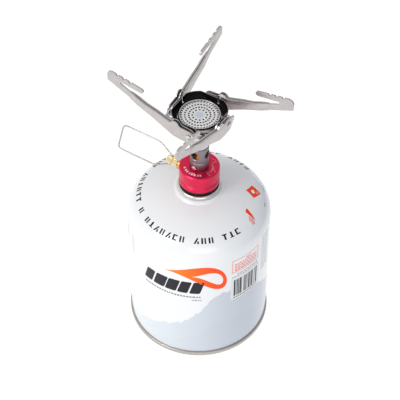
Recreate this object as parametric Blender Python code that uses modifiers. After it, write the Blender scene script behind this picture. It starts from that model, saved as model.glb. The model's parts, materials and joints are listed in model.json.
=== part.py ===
"""Canister camping stove: a screw-on burner with four folding pot supports on a gas canister.

Metres, +Z up. The origin is the centre of the canister's standing plane. Every size below is in
millimetres and is turned into metres by the building functions.
"""
import math

import bmesh
import bpy
from mathutils import Matrix, Vector

MM = 0.001
GAP = 0.3                 # room left between two pieces that rest on or in each other
RUN = 0.25                # radial room round a turning or sliding pin

# Canister: a drawn shell, a seamed base and a threaded valve
CAN_RADIUS = 54.0
CAN_WALL = 0.6
WALL_TOP = 111.2          # where the straight wall ends
KNUCKLE_RADIUS = 19.5     # the rounding from the wall into the crown
CROWN_RADIUS = 99.2
SEAM_STEP = 1.0           # the seam stands out from the wall by this much
SEAM_HEIGHT = 3.5
BASE_RISE = 12.4          # the base domes up this far inside the seam
BEAD_RADIUS = 16.6        # the rolled edge that joins the valve cup to the shell
BEAD_SECTION = 1.6
BEAD_LIFT = 3.044
CUP_DEPTH = 6.4
BOSS_RADIUS = 5.25        # the standard 7/16 inch thread, plain here
BOSS_BORE = 3.3
POPPET_RADIUS = 2.0
POPPET_LENGTH = 6.0
POPPET_DEPTH = 4.5        # the stove's pin holds it this far below the boss's top
SPRING_WIRE = 0.35
SPRING_TURNS = 5

KNUCKLE_COSINE = (CAN_RADIUS - KNUCKLE_RADIUS) / (CROWN_RADIUS - KNUCKLE_RADIUS)
CROWN_DROP = (CROWN_RADIUS - KNUCKLE_RADIUS) * math.sqrt(1 - KNUCKLE_COSINE ** 2)
CROWN_CENTRE = WALL_TOP - CROWN_DROP
SEAM_RADIUS = CAN_RADIUS + SEAM_STEP
BEAD_Z = CROWN_CENTRE + math.sqrt(CROWN_RADIUS ** 2 - BEAD_RADIUS ** 2) + BEAD_LIFT
MOUTH_RADIUS = BEAD_RADIUS - 2.0

# Stove body: the collar, the valve core and the mixer tube, stacked on the canister
COLLAR_ROOM = 4.3         # from the rolled edge's middle up to the collar
COLLAR_RADIUS = 15.0
COLLAR_HEIGHT = 15.5
COLLAR_BEVEL = 0.8
COLLAR_GROOVES = (3.8, 5.6)
GROOVE_DEPTH = 0.35
GROOVE_WIDTH = 0.5
COLLAR_WALL = 5.8
COLLAR_WEB = 2.0
SEAL_HEIGHT = 1.8
SOCKET_DEPTH = 4.8
SOCKET_ROOM = 0.35        # radial room round the boss
PIN_RADIUS = 0.9
PASSAGE_RADIUS = 0.7
SPIGOT_HEIGHT = 6.0
JET_RADIUS = 2.0
JET_HEIGHT = 4.2
TUBE_RADIUS = 7.0
TUBE_WALL = 1.0
TUBE_HEIGHT = 21.0
TUBE_RING = 7.4
AIR_HOLE_RADIUS = 3.4
AIR_HOLE_UP = 14.4
AIR_HOLE_TURN = 1.5
TUBE_SCREW_AZIMUTH = -122.0
TUBE_SCREW_UP = 3.0
TUBE_SCREW_SHANK = 0.95
TUBE_SCREW_HEAD = 1.85

COLLAR_BOTTOM = BEAD_Z + COLLAR_ROOM
COLLAR_TOP = COLLAR_BOTTOM + COLLAR_HEIGHT
BOSS_TOP = COLLAR_BOTTOM + 3.5
POPPET_TOP = BOSS_TOP - POPPET_DEPTH
SEAL_RADIUS = COLLAR_RADIUS - 0.3
CORE_RADIUS = COLLAR_RADIUS - COLLAR_WALL - GAP
SOCKET_CEILING = COLLAR_BOTTOM + 0.4 + SOCKET_DEPTH
SPIGOT_RADIUS = TUBE_RADIUS - TUBE_WALL - GAP
SPIGOT_TOP = COLLAR_TOP + SPIGOT_HEIGHT
TUBE_TOP = COLLAR_TOP + TUBE_HEIGHT
AIR_HOLE_Z = COLLAR_TOP + AIR_HOLE_UP

# Burner head, and the bowl round it with a flat and a slot beside each arm
NECK_HEIGHT = 26.2
NECK_TOP_RADIUS = 15.0
NECK_WALL = 0.9
LIP_WALL = 1.4
LIP_HEIGHT = 4.1
PLATE_THICKNESS = 0.5
PLATE_RECESS = 1.0
HOLE_SIZE = 1.1
HOLE_RINGS = ((5.24, 12), (7.74, 24), (10.5, 30), (13.1, 38))
BOWL_WIDTH = 4.7          # from the burner's rim to the bowl's edge
BOWL_HEIGHT = 5.4
BOWL_WALL = 0.6
BOWL_FLAT_IN = 2.4        # the flats lie this far inside the bowl's edge
SLOT_WIDTH = 1.3
SLOT_PLACE = 5.0
BRACKET_THICKNESS = 1.0
BRACKET_WIDTH = 1.9

NECK_TOP = TUBE_TOP + NECK_HEIGHT
LIP_RADIUS = NECK_TOP_RADIUS + 0.5
LIP_TOP = NECK_TOP + GAP + LIP_HEIGHT
BOWL_RADIUS = LIP_RADIUS + BOWL_WIDTH
BOWL_FLAT = BOWL_RADIUS - BOWL_FLAT_IN
BOWL_BOTTOM = NECK_TOP + 2.4
BOWL_TOP = BOWL_BOTTOM + BOWL_HEIGHT
BRACKET_TOP = BOWL_BOTTOM - 1.2

# Pot supports. Their outlines are measured out (x) and up (y) from the pivot
ARM_COUNT = 4
ARM_AZIMUTH = 148.5       # of the left arm; the others follow every quarter turn
ARM_NAMES = ("left", "front", "right", "back")
ARM_WIDTH = 3.2
ARM_WEB = 0.7
ARM_REACH = 67.2
BAR_END = 49.3            # where the channel has closed into the blade
BLADE_THICKNESS = 1.2
PIVOT_SET_BACK = 4.3      # the pivot lies behind the burner's axis
PIVOT_ROUND = 5.4
TOOTH_EDGE = 25.5         # length of the toothed edge
TOOTH_RISE = 4.7          # how much it rises towards the tip
NOTCH_WIDTH = 2.0
NOTCH_DEPTH = 1.3
NOTCHES_IN = (18.9, 13.7, 8.3)
RIVET_RADIUS = 1.2
RIVET_HEAD = 2.1
RIVET_HEAD_HEIGHT = 0.8
RIVET_FOOT_HEIGHT = 0.3
EAR_THICKNESS = 1.1
EAR_RADIUS = 3.4

PIVOT_Z = BOWL_BOTTOM - 0.4
ARM_MIDDLE = BOWL_FLAT + RIVET_FOOT_HEIGHT + 2 * GAP + ARM_WIDTH / 2

# Valve: the spindle is level and points the same way as the wire handle
VALVE_AZIMUTH = 147.5
VALVE_UP = 7.0
VALVE_TILT = 27.9         # the handle's plane leans this far from upright
SPINDLE_RADIUS = 1.7
SPINDLE_TRAVEL = 1.6      # how far two turns bring the spindle out
ORING_SECTION = 0.35
GLAND_RADIUS = 3.8
GLAND_LENGTH = 2.4
HUB_ROOM = 1.0
HUB_LENGTH = 9.2
HUB_HALF_WIDTH = 2.8
HUB_HALF_DEPTH = 2.6
HUB_SCREW_IN = 2.1
HANDLE_PIVOT_IN = 3.5     # the wire's holes lie this far inside the hub's outer end
WIRE_RADIUS = 0.55
WIRE_WIDE = 9.5
WIRE_SHOULDER = 12.0
WIRE_LENGTH = 45.8
WIRE_CORNER = 3.0

VALVE_Z = COLLAR_BOTTOM + VALVE_UP
SPINDLE_START = CORE_RADIUS - 2.1
SPINDLE_SEAT = SPINDLE_START + 1.2          # the groove that holds the O-ring
SPINDLE_WAY = SPINDLE_RADIUS + 0.8
GLAND_END = COLLAR_RADIUS + GLAND_LENGTH
HUB_START = GLAND_END + HUB_ROOM
HUB_END = HUB_START + HUB_LENGTH
HANDLE_PIVOT = HUB_END - HANDLE_PIVOT_IN
SPINDLE_END = HANDLE_PIVOT - WIRE_RADIUS - RUN - 0.9
WIRE_NARROW = HUB_HALF_WIDTH + GAP + WIRE_RADIUS

CAN_SIDES = 40
BODY_SIDES = 24
SMALL_SIDES = 12


# ---------------------------------------------------------------- building functions

def clear_scene():
    for obj in list(bpy.data.objects):
        bpy.data.objects.remove(obj)


def new_collection(name):
    made = bpy.data.collections.new(name)
    bpy.context.scene.collection.children.link(made)
    return made


def material(name, colour, metallic, roughness):
    made = bpy.data.materials.new(name)
    made.use_nodes = True
    shader = made.node_tree.nodes["Principled BSDF"]
    shader.inputs["Base Color"].default_value = (*colour, 1.0)
    shader.inputs["Metallic"].default_value = metallic
    shader.inputs["Roughness"].default_value = roughness
    return made


def link(obj, look=None, cutter=False):
    (CUTTERS if cutter else PARTS).objects.link(obj)
    if cutter:
        obj.hide_render = True
        obj.display_type = "WIRE"
    if look is not None:
        obj.data.materials.clear()
        obj.data.materials.append(look)
    return obj


def turned(name, profile, sides=BODY_SIDES, look=None, closed=False, cutter=False):
    """A turned piece. The profile's (radius, height) points run down the outer side.

    A profile that is not closed starts and ends on the axis.
    """
    mesh = bpy.data.meshes.new(name)
    points = [(radius * MM, 0.0, height * MM) for radius, height in profile]
    edges = [(i, i + 1) for i in range(len(points) - 1)]
    if closed:
        edges.append((len(points) - 1, 0))
    mesh.from_pydata(points, edges, [])
    obj = link(bpy.data.objects.new(name, mesh), cutter=cutter)
    screw = obj.modifiers.new("Turn", "SCREW")
    screw.steps = sides
    screw.render_steps = sides
    screw.use_merge_vertices = True
    screw.merge_threshold = 1e-6
    screw.use_normal_calculate = False
    baked(obj)
    smooth(obj)
    if look is not None:
        obj.data.materials.append(look)
    return obj


def outline(name, points, thickness, look=None, cutter=False):
    """A flat plate from its outline in X and Y, centred on its own plane, as a mesh."""
    curve = bpy.data.curves.new(name, "CURVE")
    curve.dimensions = "2D"
    curve.fill_mode = "BOTH"
    curve.extrude = thickness * MM / 2
    spline = curve.splines.new("POLY")
    spline.points.add(len(points) - 1)
    for place, (x, y) in zip(spline.points, points):
        place.co = (x * MM, y * MM, 0.0, 1.0)
    spline.use_cyclic_u = True
    return as_mesh(name, curve, look, cutter)


def wire(name, points, radius, look, resolution=2):
    """A round wire along a list of points."""
    curve = bpy.data.curves.new(name, "CURVE")
    curve.dimensions = "3D"
    curve.bevel_depth = radius * MM
    curve.bevel_resolution = resolution
    curve.use_fill_caps = True
    spline = curve.splines.new("POLY")
    spline.points.add(len(points) - 1)
    for place, point in zip(spline.points, points):
        place.co = (*(value * MM for value in point), 1.0)
    return as_mesh(name, curve, look, False)


def as_mesh(name, curve, look, cutter):
    """The curve as a closed mesh object of the same name."""
    drawn = bpy.data.objects.new(name, curve)
    PARTS.objects.link(drawn)
    bpy.context.view_layer.update()
    evaluated = drawn.evaluated_get(bpy.context.evaluated_depsgraph_get())
    mesh = bpy.data.meshes.new_from_object(evaluated)
    place = drawn.matrix_world.copy()
    bpy.data.objects.remove(drawn)
    shape = bmesh.new()
    shape.from_mesh(mesh)
    bmesh.ops.remove_doubles(shape, verts=shape.verts, dist=1e-7)
    bmesh.ops.recalc_face_normals(shape, faces=shape.faces)
    shape.to_mesh(mesh)
    shape.free()
    obj = link(bpy.data.objects.new(name, mesh), look, cutter)
    obj.matrix_world = place
    return obj


def block(name, low, high, look=None, cutter=False):
    """A box between two corners."""
    shape = bmesh.new()
    bmesh.ops.create_cube(shape, size=1.0)
    size = Vector(high) - Vector(low)
    middle = (Vector(high) + Vector(low)) / 2
    bmesh.ops.scale(shape, vec=size * MM, verts=shape.verts)
    bmesh.ops.translate(shape, vec=middle * MM, verts=shape.verts)
    mesh = bpy.data.meshes.new(name)
    shape.to_mesh(mesh)
    shape.free()
    return link(bpy.data.objects.new(name, mesh), look, cutter)


def rod(name, radius, low, high, sides=SMALL_SIDES, look=None, cutter=False):
    """A cylinder along its own Z, from low to high."""
    shape = bmesh.new()
    bmesh.ops.create_cone(
        shape, cap_ends=True, segments=sides, radius1=radius * MM, radius2=radius * MM,
        depth=(high - low) * MM)
    bmesh.ops.translate(shape, vec=(0, 0, (high + low) / 2 * MM), verts=shape.verts)
    mesh = bpy.data.meshes.new(name)
    shape.to_mesh(mesh)
    shape.free()
    return link(bpy.data.objects.new(name, mesh), look, cutter)


def ring(name, radius, section, height, look, sides=BODY_SIDES, section_sides=8):
    """A round ring of round section, centred on the axis at a height."""
    profile = []
    for i in range(section_sides):
        angle = -math.tau * i / section_sides
        profile.append((radius + section * math.cos(angle), height + section * math.sin(angle)))
    return turned(name, profile, sides, look, closed=True)


def combine(obj, tool, operation="DIFFERENCE"):
    """Cuts obj with the tool, or joins them, and keeps obj."""
    bpy.context.view_layer.update()
    boolean = obj.modifiers.new("Combine", "BOOLEAN")
    boolean.operation = operation
    boolean.solver = "EXACT"
    boolean.object = tool
    baked(obj)
    bpy.data.objects.remove(tool)
    return obj


def baked(obj):
    """Applies the modifiers that obj has."""
    bpy.context.view_layer.update()
    evaluated = obj.evaluated_get(bpy.context.evaluated_depsgraph_get())
    mesh = bpy.data.meshes.new_from_object(evaluated)
    obj.modifiers.clear()
    obj.data = mesh
    mesh.name = obj.name
    return obj


def smooth(obj, angle=40.0):
    obj.data.shade_smooth()
    obj.data.set_sharp_from_angle(angle=math.radians(angle))
    return obj


def bevelled(obj, width, segments=1):
    bevel = obj.modifiers.new("Round the edges", "BEVEL")
    bevel.width = width * MM
    bevel.segments = segments
    bevel.limit_method = "ANGLE"
    return baked(obj)


def arc(centre, radius, start, end, steps):
    """Points of an arc, with its angles in degrees, counted from +X towards +Y."""
    points = []
    for i in range(steps + 1):
        angle = math.radians(start + (end - start) * i / steps)
        points.append((centre[0] + radius * math.cos(angle), centre[1] + radius * math.sin(angle)))
    return points


def place(obj, frame):
    obj.matrix_world = frame
    return obj


# ---------------------------------------------------------------- frames

def turn_about_axis(degrees):
    return Matrix.Rotation(math.radians(degrees), 4, "Z")


def valve_frame():
    """Local X is the handle's width, local Z points out along the spindle."""
    out = Vector((math.cos(math.radians(VALVE_AZIMUTH)), math.sin(math.radians(VALVE_AZIMUTH)), 0))
    side = Vector((-out.y, out.x, 0))
    tilt = math.radians(VALVE_TILT)
    width = Vector((0, 0, 1)) * math.cos(tilt) - side * math.sin(tilt)
    depth = out.cross(width)
    frame = Matrix((width, depth, out)).transposed().to_4x4()
    frame.translation = Vector((0, 0, VALVE_Z * MM))
    return frame


def arm_frame(index):
    """The frame of one arm's pivot: local X runs out along the arm and local Y up.

    Local Z then points towards the burner's axis.
    """
    azimuth = ARM_AZIMUTH + 90.0 * index
    upright = Matrix.Rotation(math.radians(90.0), 4, "X")
    pivot = Matrix.Translation(Vector((-PIVOT_SET_BACK, ARM_MIDDLE, PIVOT_Z)) * MM)
    return turn_about_axis(azimuth) @ pivot @ upright


# ---------------------------------------------------------------- canister

def shell_side(inset):
    """The shell's profile from the mouth down to the seam, inset from the outside."""
    meet = math.degrees(math.acos(KNUCKLE_COSINE))
    crown_end = CROWN_RADIUS * KNUCKLE_COSINE
    crown_start = BEAD_RADIUS + 2.4
    top = BEAD_Z - BEAD_SECTION + 0.1 - GAP
    points = [(MOUTH_RADIUS, top - inset), (BEAD_RADIUS, top - inset)]
    for i in range(4):
        radius = crown_start + (crown_end - crown_start) * i / 4
        height = CROWN_CENTRE + math.sqrt(CROWN_RADIUS ** 2 - radius ** 2)
        points.append((radius, height - inset))
    points += arc((CAN_RADIUS - KNUCKLE_RADIUS, WALL_TOP), KNUCKLE_RADIUS - inset, meet, 0, 5)
    points.append((CAN_RADIUS - inset, SEAM_HEIGHT + GAP))
    return points


def make_canister():
    turned("can_shell", shell_side(0) + shell_side(CAN_WALL)[::-1], CAN_SIDES, PAINT, closed=True)

    inside = CAN_RADIUS - CAN_WALL - GAP
    step = inside - 2.3
    base = [
        (0, BASE_RISE), (step * 0.5, BASE_RISE - 1.0), (step * 0.82, BASE_RISE - 4.0),
        (step, SEAM_HEIGHT + 1.4), (inside, SEAM_HEIGHT + 1.4), (inside, SEAM_HEIGHT),
        (SEAM_RADIUS - 0.3, SEAM_HEIGHT), (SEAM_RADIUS, SEAM_HEIGHT - 0.4), (SEAM_RADIUS, 0.4),
        (SEAM_RADIUS - 0.3, 0), (SEAM_RADIUS - 1.7, 0), (SEAM_RADIUS - 2.4, 0.5),
        (SEAM_RADIUS - 3.6, SEAM_HEIGHT), (step - 0.2, SEAM_HEIGHT + 0.8),
        (step * 0.82, BASE_RISE - 4.6), (step * 0.5, BASE_RISE - 1.6), (0, BASE_RISE - 0.6)]
    turned("can_base", base, CAN_SIDES, SEAM_STEEL)

    middle = BEAD_RADIUS - BEAD_SECTION
    skirt = MOUTH_RADIUS - GAP
    floor = BEAD_Z - BEAD_SECTION - CUP_DEPTH + 1.0
    bead = arc((middle, BEAD_Z + 0.1), BEAD_SECTION, 150, -60, 7)
    cup = bead + [
        (skirt, BEAD_Z - BEAD_SECTION + 0.3), (skirt, floor), (BOSS_BORE, floor),
        (BOSS_BORE, BOSS_TOP - 0.5), (BOSS_BORE - 0.9, BOSS_TOP - 0.5),
        (BOSS_BORE - 0.9, BOSS_TOP), (BOSS_RADIUS - 0.4, BOSS_TOP), (BOSS_RADIUS, BOSS_TOP - 0.4),
        (BOSS_RADIUS, floor + 0.7), (skirt - 0.7, floor + 0.7), (skirt - 0.7, BEAD_Z)]
    turned("can_valve_cup", cup, BODY_SIDES, SEAM_STEEL, closed=True)

    top = floor - GAP
    bottom = top - 7.5
    bore = POPPET_RADIUS + 0.7
    housing = [
        (bore + 2.2, top), (bore + 2.2, bottom + 1.5), (bore + 0.9, bottom), (0.8, bottom),
        (0.8, bottom + 1.0), (bore, bottom + 1.0), (bore, top)]
    turned("can_valve_housing", housing, SMALL_SIDES, NYLON, closed=True)

    poppet_bottom = POPPET_TOP - POPPET_LENGTH
    poppet = [
        (0, POPPET_TOP), (POPPET_RADIUS - 0.3, POPPET_TOP), (POPPET_RADIUS, POPPET_TOP - 0.3),
        (POPPET_RADIUS, poppet_bottom), (0, poppet_bottom)]
    turned("can_valve_poppet", poppet, SMALL_SIDES, BRASS)

    seal_top = BOSS_TOP - 0.5 - GAP
    seal = [
        (BOSS_BORE - GAP, seal_top), (BOSS_BORE - GAP, seal_top - 1.5),
        (PIN_RADIUS + GAP, seal_top - 1.5), (PIN_RADIUS + GAP, seal_top)]
    turned("can_valve_seal", seal, SMALL_SIDES, RUBBER, closed=True)

    low = bottom + 1.0 + GAP + SPRING_WIRE
    high = poppet_bottom - GAP - SPRING_WIRE
    coil_radius = bore - GAP - SPRING_WIRE - 0.15
    steps = 9 * SPRING_TURNS
    coil = []
    for i in range(steps + 1):
        angle = math.tau * SPRING_TURNS * i / steps
        coil.append((
            coil_radius * math.cos(angle), coil_radius * math.sin(angle),
            low + (high - low) * i / steps))
    smooth(wire("can_valve_spring", coil, SPRING_WIRE, SPRING_STEEL, 1))


# ---------------------------------------------------------------- stove body

def make_collar():
    bottom, top, radius = COLLAR_BOTTOM, COLLAR_TOP, COLLAR_RADIUS
    bore = CORE_RADIUS + GAP
    web = SPIGOT_RADIUS + 0.9
    ceiling = top - COLLAR_WEB
    side = [(radius - COLLAR_BEVEL, top), (radius, top - COLLAR_BEVEL)]
    half = GROOVE_WIDTH / 2
    for groove_up in sorted(COLLAR_GROOVES, reverse=True):
        groove = bottom + groove_up
        side += [(radius, groove + half), (radius - GROOVE_DEPTH, groove + half * 0.6),
                 (radius - GROOVE_DEPTH, groove - half * 0.6), (radius, groove - half)]
    side += [(radius, bottom + 0.3), (radius - 0.3, bottom)]
    inner = [(bore, bottom), (bore, ceiling), (web, ceiling), (web, top)]
    collar = turned("base_collar", side + inner, BODY_SIDES, ANODISED, closed=True)
    hole = rod("gland_hole", GLAND_RADIUS + GAP, CORE_RADIUS / 2, COLLAR_RADIUS + 3, cutter=True)
    place(hole, valve_frame())
    smooth(combine(collar, hole))


def make_core():
    socket = BOSS_RADIUS + SOCKET_ROOM
    ceiling = SOCKET_CEILING
    shoulder = COLLAR_TOP - COLLAR_WEB - GAP
    spigot = SPIGOT_RADIUS + 0.9 - GAP
    jet_bore = JET_RADIUS - 0.3
    passage = PASSAGE_RADIUS
    profile = [
        (SPIGOT_RADIUS, SPIGOT_TOP), (SPIGOT_RADIUS, COLLAR_TOP), (spigot, COLLAR_TOP),
        (spigot, shoulder), (CORE_RADIUS, shoulder), (CORE_RADIUS, COLLAR_BOTTOM + 0.4),
        (socket, COLLAR_BOTTOM + 0.4), (socket, ceiling), (PIN_RADIUS + GAP, ceiling),
        (PIN_RADIUS + GAP, ceiling + 0.4), (passage, ceiling + 0.4), (passage, SPIGOT_TOP - 3.0),
        (jet_bore, SPIGOT_TOP - 3.0), (jet_bore, SPIGOT_TOP)]
    core = turned("valve_core", profile, BODY_SIDES, BRASS, closed=True)
    needle_way = place(rod("needle_way", PIN_RADIUS, 0.1, SPINDLE_START + 1, 8, cutter=True), valve_frame())
    combine(core, needle_way)
    spindle_way = rod(
        "spindle_way", SPINDLE_WAY, SPINDLE_START - 0.4, CORE_RADIUS + 2, cutter=True)
    combine(core, place(spindle_way, valve_frame()))
    screw_way = rod(
        "screw_way", TUBE_SCREW_SHANK + GAP, JET_RADIUS + 1.4, SPIGOT_RADIUS + 2, 12, cutter=True)
    smooth(combine(core, place(screw_way, tube_screw_frame())))

    pin_top = ceiling + 0.4 - GAP
    pin = [
        (PIN_RADIUS, pin_top), (PIN_RADIUS, POPPET_TOP + GAP + 0.3),
        (PIN_RADIUS - 0.2, POPPET_TOP + GAP), (0.35, POPPET_TOP + GAP), (0.35, pin_top)]
    turned("inlet_pin", pin, SMALL_SIDES, STEEL, closed=True)
    ring_radius = (socket + PIN_RADIUS) / 2
    ring("inlet_oring", ring_radius, 0.45, ceiling - GAP - 0.45, RUBBER, BODY_SIDES, 6)
    sieve = [(0, ceiling + 5.0), (passage - 0.2, ceiling + 5.0), (passage - 0.2, ceiling + 3.6),
             (0, ceiling + 3.6)]
    turned("gas_filter", sieve, 12, SINTERED)

    seat = SPIGOT_TOP + GAP
    tip = seat + JET_HEIGHT
    jet = [
        (0.9, tip), (1.3, tip - 0.7), (1.3, seat + 1.8), (JET_RADIUS, seat + 1.8),
        (JET_RADIUS, seat), (jet_bore - RUN, seat), (jet_bore - RUN, SPIGOT_TOP - 2.6),
        (0.6, SPIGOT_TOP - 2.6), (0.6, tip - 1.2), (0.25, tip - 0.6), (0.25, tip)]
    turned("gas_jet", jet, SMALL_SIDES, BRASS, closed=True)


def make_seal_ring():
    top = COLLAR_BOTTOM - GAP
    bottom = top - SEAL_HEIGHT
    bore = BOSS_RADIUS + 0.5
    profile = [
        (SEAL_RADIUS - 0.3, top), (SEAL_RADIUS, top - 0.3), (SEAL_RADIUS, bottom + 0.3),
        (SEAL_RADIUS - 0.3, bottom), (bore, bottom), (bore, top)]
    turned("seal_ring", profile, BODY_SIDES, RUBBER, closed=True)


def tube_screw_frame():
    """Local Z points out through the mixer tube's wall at the clamping screw."""
    angle = math.radians(TUBE_SCREW_AZIMUTH)
    out = Vector((math.cos(angle), math.sin(angle), 0))
    frame = out.to_track_quat("Z", "Y").to_matrix().to_4x4()
    frame.translation = Vector((0, 0, (COLLAR_TOP + TUBE_SCREW_UP) * MM))
    return frame


def make_mixer_tube():
    bottom = COLLAR_TOP + GAP
    bore = TUBE_RADIUS - TUBE_WALL
    groove = COLLAR_TOP + TUBE_RING
    profile = [
        (TUBE_RADIUS - 0.2, TUBE_TOP), (TUBE_RADIUS, TUBE_TOP - 0.2),
        (TUBE_RADIUS, groove + 0.5), (TUBE_RADIUS - 0.25, groove + 0.25),
        (TUBE_RADIUS - 0.25, groove - 0.25), (TUBE_RADIUS, groove - 0.5),
        (TUBE_RADIUS, bottom), (bore, bottom), (bore, TUBE_TOP)]
    tube = turned("mixer_tube", profile, BODY_SIDES, GUNMETAL, closed=True)
    for quarter in range(2):
        hole = rod("air_hole", AIR_HOLE_RADIUS, -12, 12, cutter=True)
        across = Matrix.Translation((0, 0, AIR_HOLE_Z * MM))
        across = across @ turn_about_axis(ARM_AZIMUTH + AIR_HOLE_TURN + 90.0 * quarter)
        combine(tube, place(hole, across @ Matrix.Rotation(math.radians(90), 4, "Y")))
    screw_hole = rod("screw_hole", TUBE_SCREW_SHANK + GAP, 4, TUBE_RADIUS + 3, 12, cutter=True)
    smooth(combine(tube, place(screw_hole, tube_screw_frame())))

    head = TUBE_RADIUS + GAP
    shank = TUBE_SCREW_SHANK
    end = JET_RADIUS + 2.0
    screw = [
        (0, head + 0.7), (TUBE_SCREW_HEAD - 0.4, head + 0.7), (TUBE_SCREW_HEAD, head + 0.3),
        (TUBE_SCREW_HEAD, head), (shank, head), (shank, end), (0, end)]
    place(turned("tube_screw", screw, SMALL_SIDES, STEEL), tube_screw_frame())


def neck_side(inset):
    """The neck's outer profile, from the burner's rim down to the mixer tube."""
    low, high = TUBE_TOP + GAP, NECK_TOP - 1.6
    foot, rim = TUBE_RADIUS - 0.3, NECK_TOP_RADIUS
    points = [(rim - inset, NECK_TOP)]
    for i in range(7):
        share = 1 - i / 6
        radius = foot + (rim - foot) * share ** 1.9
        points.append((radius - inset, low + (high - low) * share))
    return points


def make_burner():
    spigot = TUBE_RADIUS - TUBE_WALL - GAP
    inner = neck_side(NECK_WALL)[::-1]
    inner[0] = (spigot - NECK_WALL, TUBE_TOP + 1.2)
    foot = [
        (spigot, TUBE_TOP + GAP), (spigot, AIR_HOLE_Z + AIR_HOLE_RADIUS + 0.5),
        (spigot - NECK_WALL, AIR_HOLE_Z + AIR_HOLE_RADIUS + 0.5)]
    turned("burner_neck", neck_side(0) + foot + inner, BODY_SIDES, SATIN, closed=True)

    bore = LIP_RADIUS - LIP_WALL
    under = NECK_TOP + GAP
    plate_top = LIP_TOP - PLATE_RECESS
    ledge = plate_top - PLATE_THICKNESS - GAP
    rim = [
        (LIP_RADIUS - 0.3, LIP_TOP), (LIP_RADIUS, LIP_TOP - 0.4), (LIP_RADIUS, under),
        (bore - 0.7, under), (bore - 0.7, ledge), (bore, ledge), (bore, LIP_TOP - 0.3),
        (bore + 0.3, LIP_TOP)]
    turned("burner_rim", rim, BODY_SIDES, SATIN, closed=True)

    edge = bore - GAP
    plate = rod("flame_plate", edge, plate_top - PLATE_THICKNESS, plate_top, BODY_SIDES, SATIN)
    holes = bmesh.new()
    for radius, count in HOLE_RINGS:
        for i in range(count):
            angle = math.tau * i / count
            middle = (radius * MM * math.cos(angle), radius * MM * math.sin(angle), plate_top * MM)
            turn = Matrix.Translation(middle) @ Matrix.Rotation(angle + math.pi / 4, 4, "Z")
            bmesh.ops.create_cone(
                holes, cap_ends=True, segments=4, radius1=HOLE_SIZE / 2 * MM,
                radius2=HOLE_SIZE / 2 * MM, depth=4 * PLATE_THICKNESS * MM, matrix=turn)
    mesh = bpy.data.meshes.new("plate_holes")
    holes.to_mesh(mesh)
    holes.free()
    combine(plate, link(bpy.data.objects.new("plate_holes", mesh), cutter=True))

    screen = ledge - GAP
    profile = [(0, screen), (bore - 0.7 - GAP, screen), (bore - 0.7 - GAP, screen - 0.4),
               (0, screen - 0.4)]
    turned("diffuser_screen", profile, BODY_SIDES, STEEL)


def bowl_solid(name, profile, flat, height):
    """A turned solid with a flat beside each arm."""
    solid = turned(name, profile, BODY_SIDES * 2, cutter=name != "burner_bowl")
    for i in range(ARM_COUNT):
        side = block("flat", (-30, flat, height - 30), (30, 40, height + 30), cutter=True)
        combine(solid, place(side, turn_about_axis(ARM_AZIMUTH + 90.0 * i)))
    return solid


def make_bowl():
    outside = [
        (0, BOWL_TOP), (BOWL_RADIUS, BOWL_TOP), (BOWL_RADIUS - 0.3, BOWL_TOP - 2.2),
        (BOWL_RADIUS - 1.3, BOWL_BOTTOM + 1.0), (BOWL_RADIUS - 3.0, BOWL_BOTTOM), (0, BOWL_BOTTOM)]
    bowl = bowl_solid("burner_bowl", outside, BOWL_FLAT, BOWL_TOP)
    inside = [
        (0, BOWL_TOP + 1), (BOWL_RADIUS - BOWL_WALL, BOWL_TOP + 1),
        (BOWL_RADIUS - BOWL_WALL - 0.3, BOWL_TOP - 2.1),
        (BOWL_RADIUS - BOWL_WALL - 1.3, BOWL_BOTTOM + 1.5),
        (BOWL_RADIUS - BOWL_WALL - 2.8, BOWL_BOTTOM + BOWL_WALL), (0, BOWL_BOTTOM + BOWL_WALL)]
    combine(bowl, bowl_solid("hollow", inside, BOWL_FLAT - BOWL_WALL, BOWL_TOP))
    hole = rod("rim_hole", LIP_RADIUS + GAP, BOWL_BOTTOM - 2, BOWL_TOP, BODY_SIDES, cutter=True)
    combine(bowl, hole)
    for i in range(ARM_COUNT):
        slot = block(
            "slot", (SLOT_PLACE - SLOT_WIDTH / 2, LIP_RADIUS - 4, BOWL_BOTTOM - 2),
            (SLOT_PLACE + SLOT_WIDTH / 2, BOWL_FLAT - 1.2, BOWL_TOP), cutter=True)
        combine(bowl, place(slot, turn_about_axis(ARM_AZIMUTH + 90.0 * i)))
    bowl.data.materials.append(MIRROR_STEEL)
    smooth(bowl)


def make_bracket():
    """A ring under the bowl, with an ear for each arm's rivet."""
    inner = LIP_RADIUS + GAP
    bottom = BRACKET_TOP - BRACKET_THICKNESS
    outer = inner + BRACKET_WIDTH
    profile = [(outer, BRACKET_TOP), (outer, bottom), (inner, bottom), (inner, BRACKET_TOP)]
    bracket = turned("arm_bracket", profile, BODY_SIDES, SATIN, closed=True)
    side = ARM_MIDDLE + EAR_THICKNESS / 2
    root = PIVOT_ROUND + 0.6
    for i in range(ARM_COUNT):
        turn = turn_about_axis(ARM_AZIMUTH + 90.0 * i)
        tongue = block(
            "tongue", (-PIVOT_SET_BACK - root - 2.4, inner - 2.6, bottom + 0.05),
            (-PIVOT_SET_BACK - root - 0.4, side - 0.05, BRACKET_TOP - 0.05), cutter=True)
        combine(bracket, place(tongue, turn), "UNION")
        ear_end = arc((0, 0), EAR_RADIUS, 90, -90, 8)
        reach = -root - 2.3
        ear = outline("ear", ear_end + [(reach, -2.6), (reach, 1.0)], EAR_THICKNESS, cutter=True)
        combine(bracket, place(ear, arm_frame(i)), "UNION")
        hole = rod("ear_hole", RIVET_RADIUS + RUN, -1.5, 1.5, cutter=True)
        combine(bracket, place(hole, arm_frame(i)))


# ---------------------------------------------------------------- arms

def lower_edge(x):
    """Height of the arm's straight lower edge, out beyond its bend."""
    return 4.2 + 0.457 * (x - 29.8)


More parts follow.
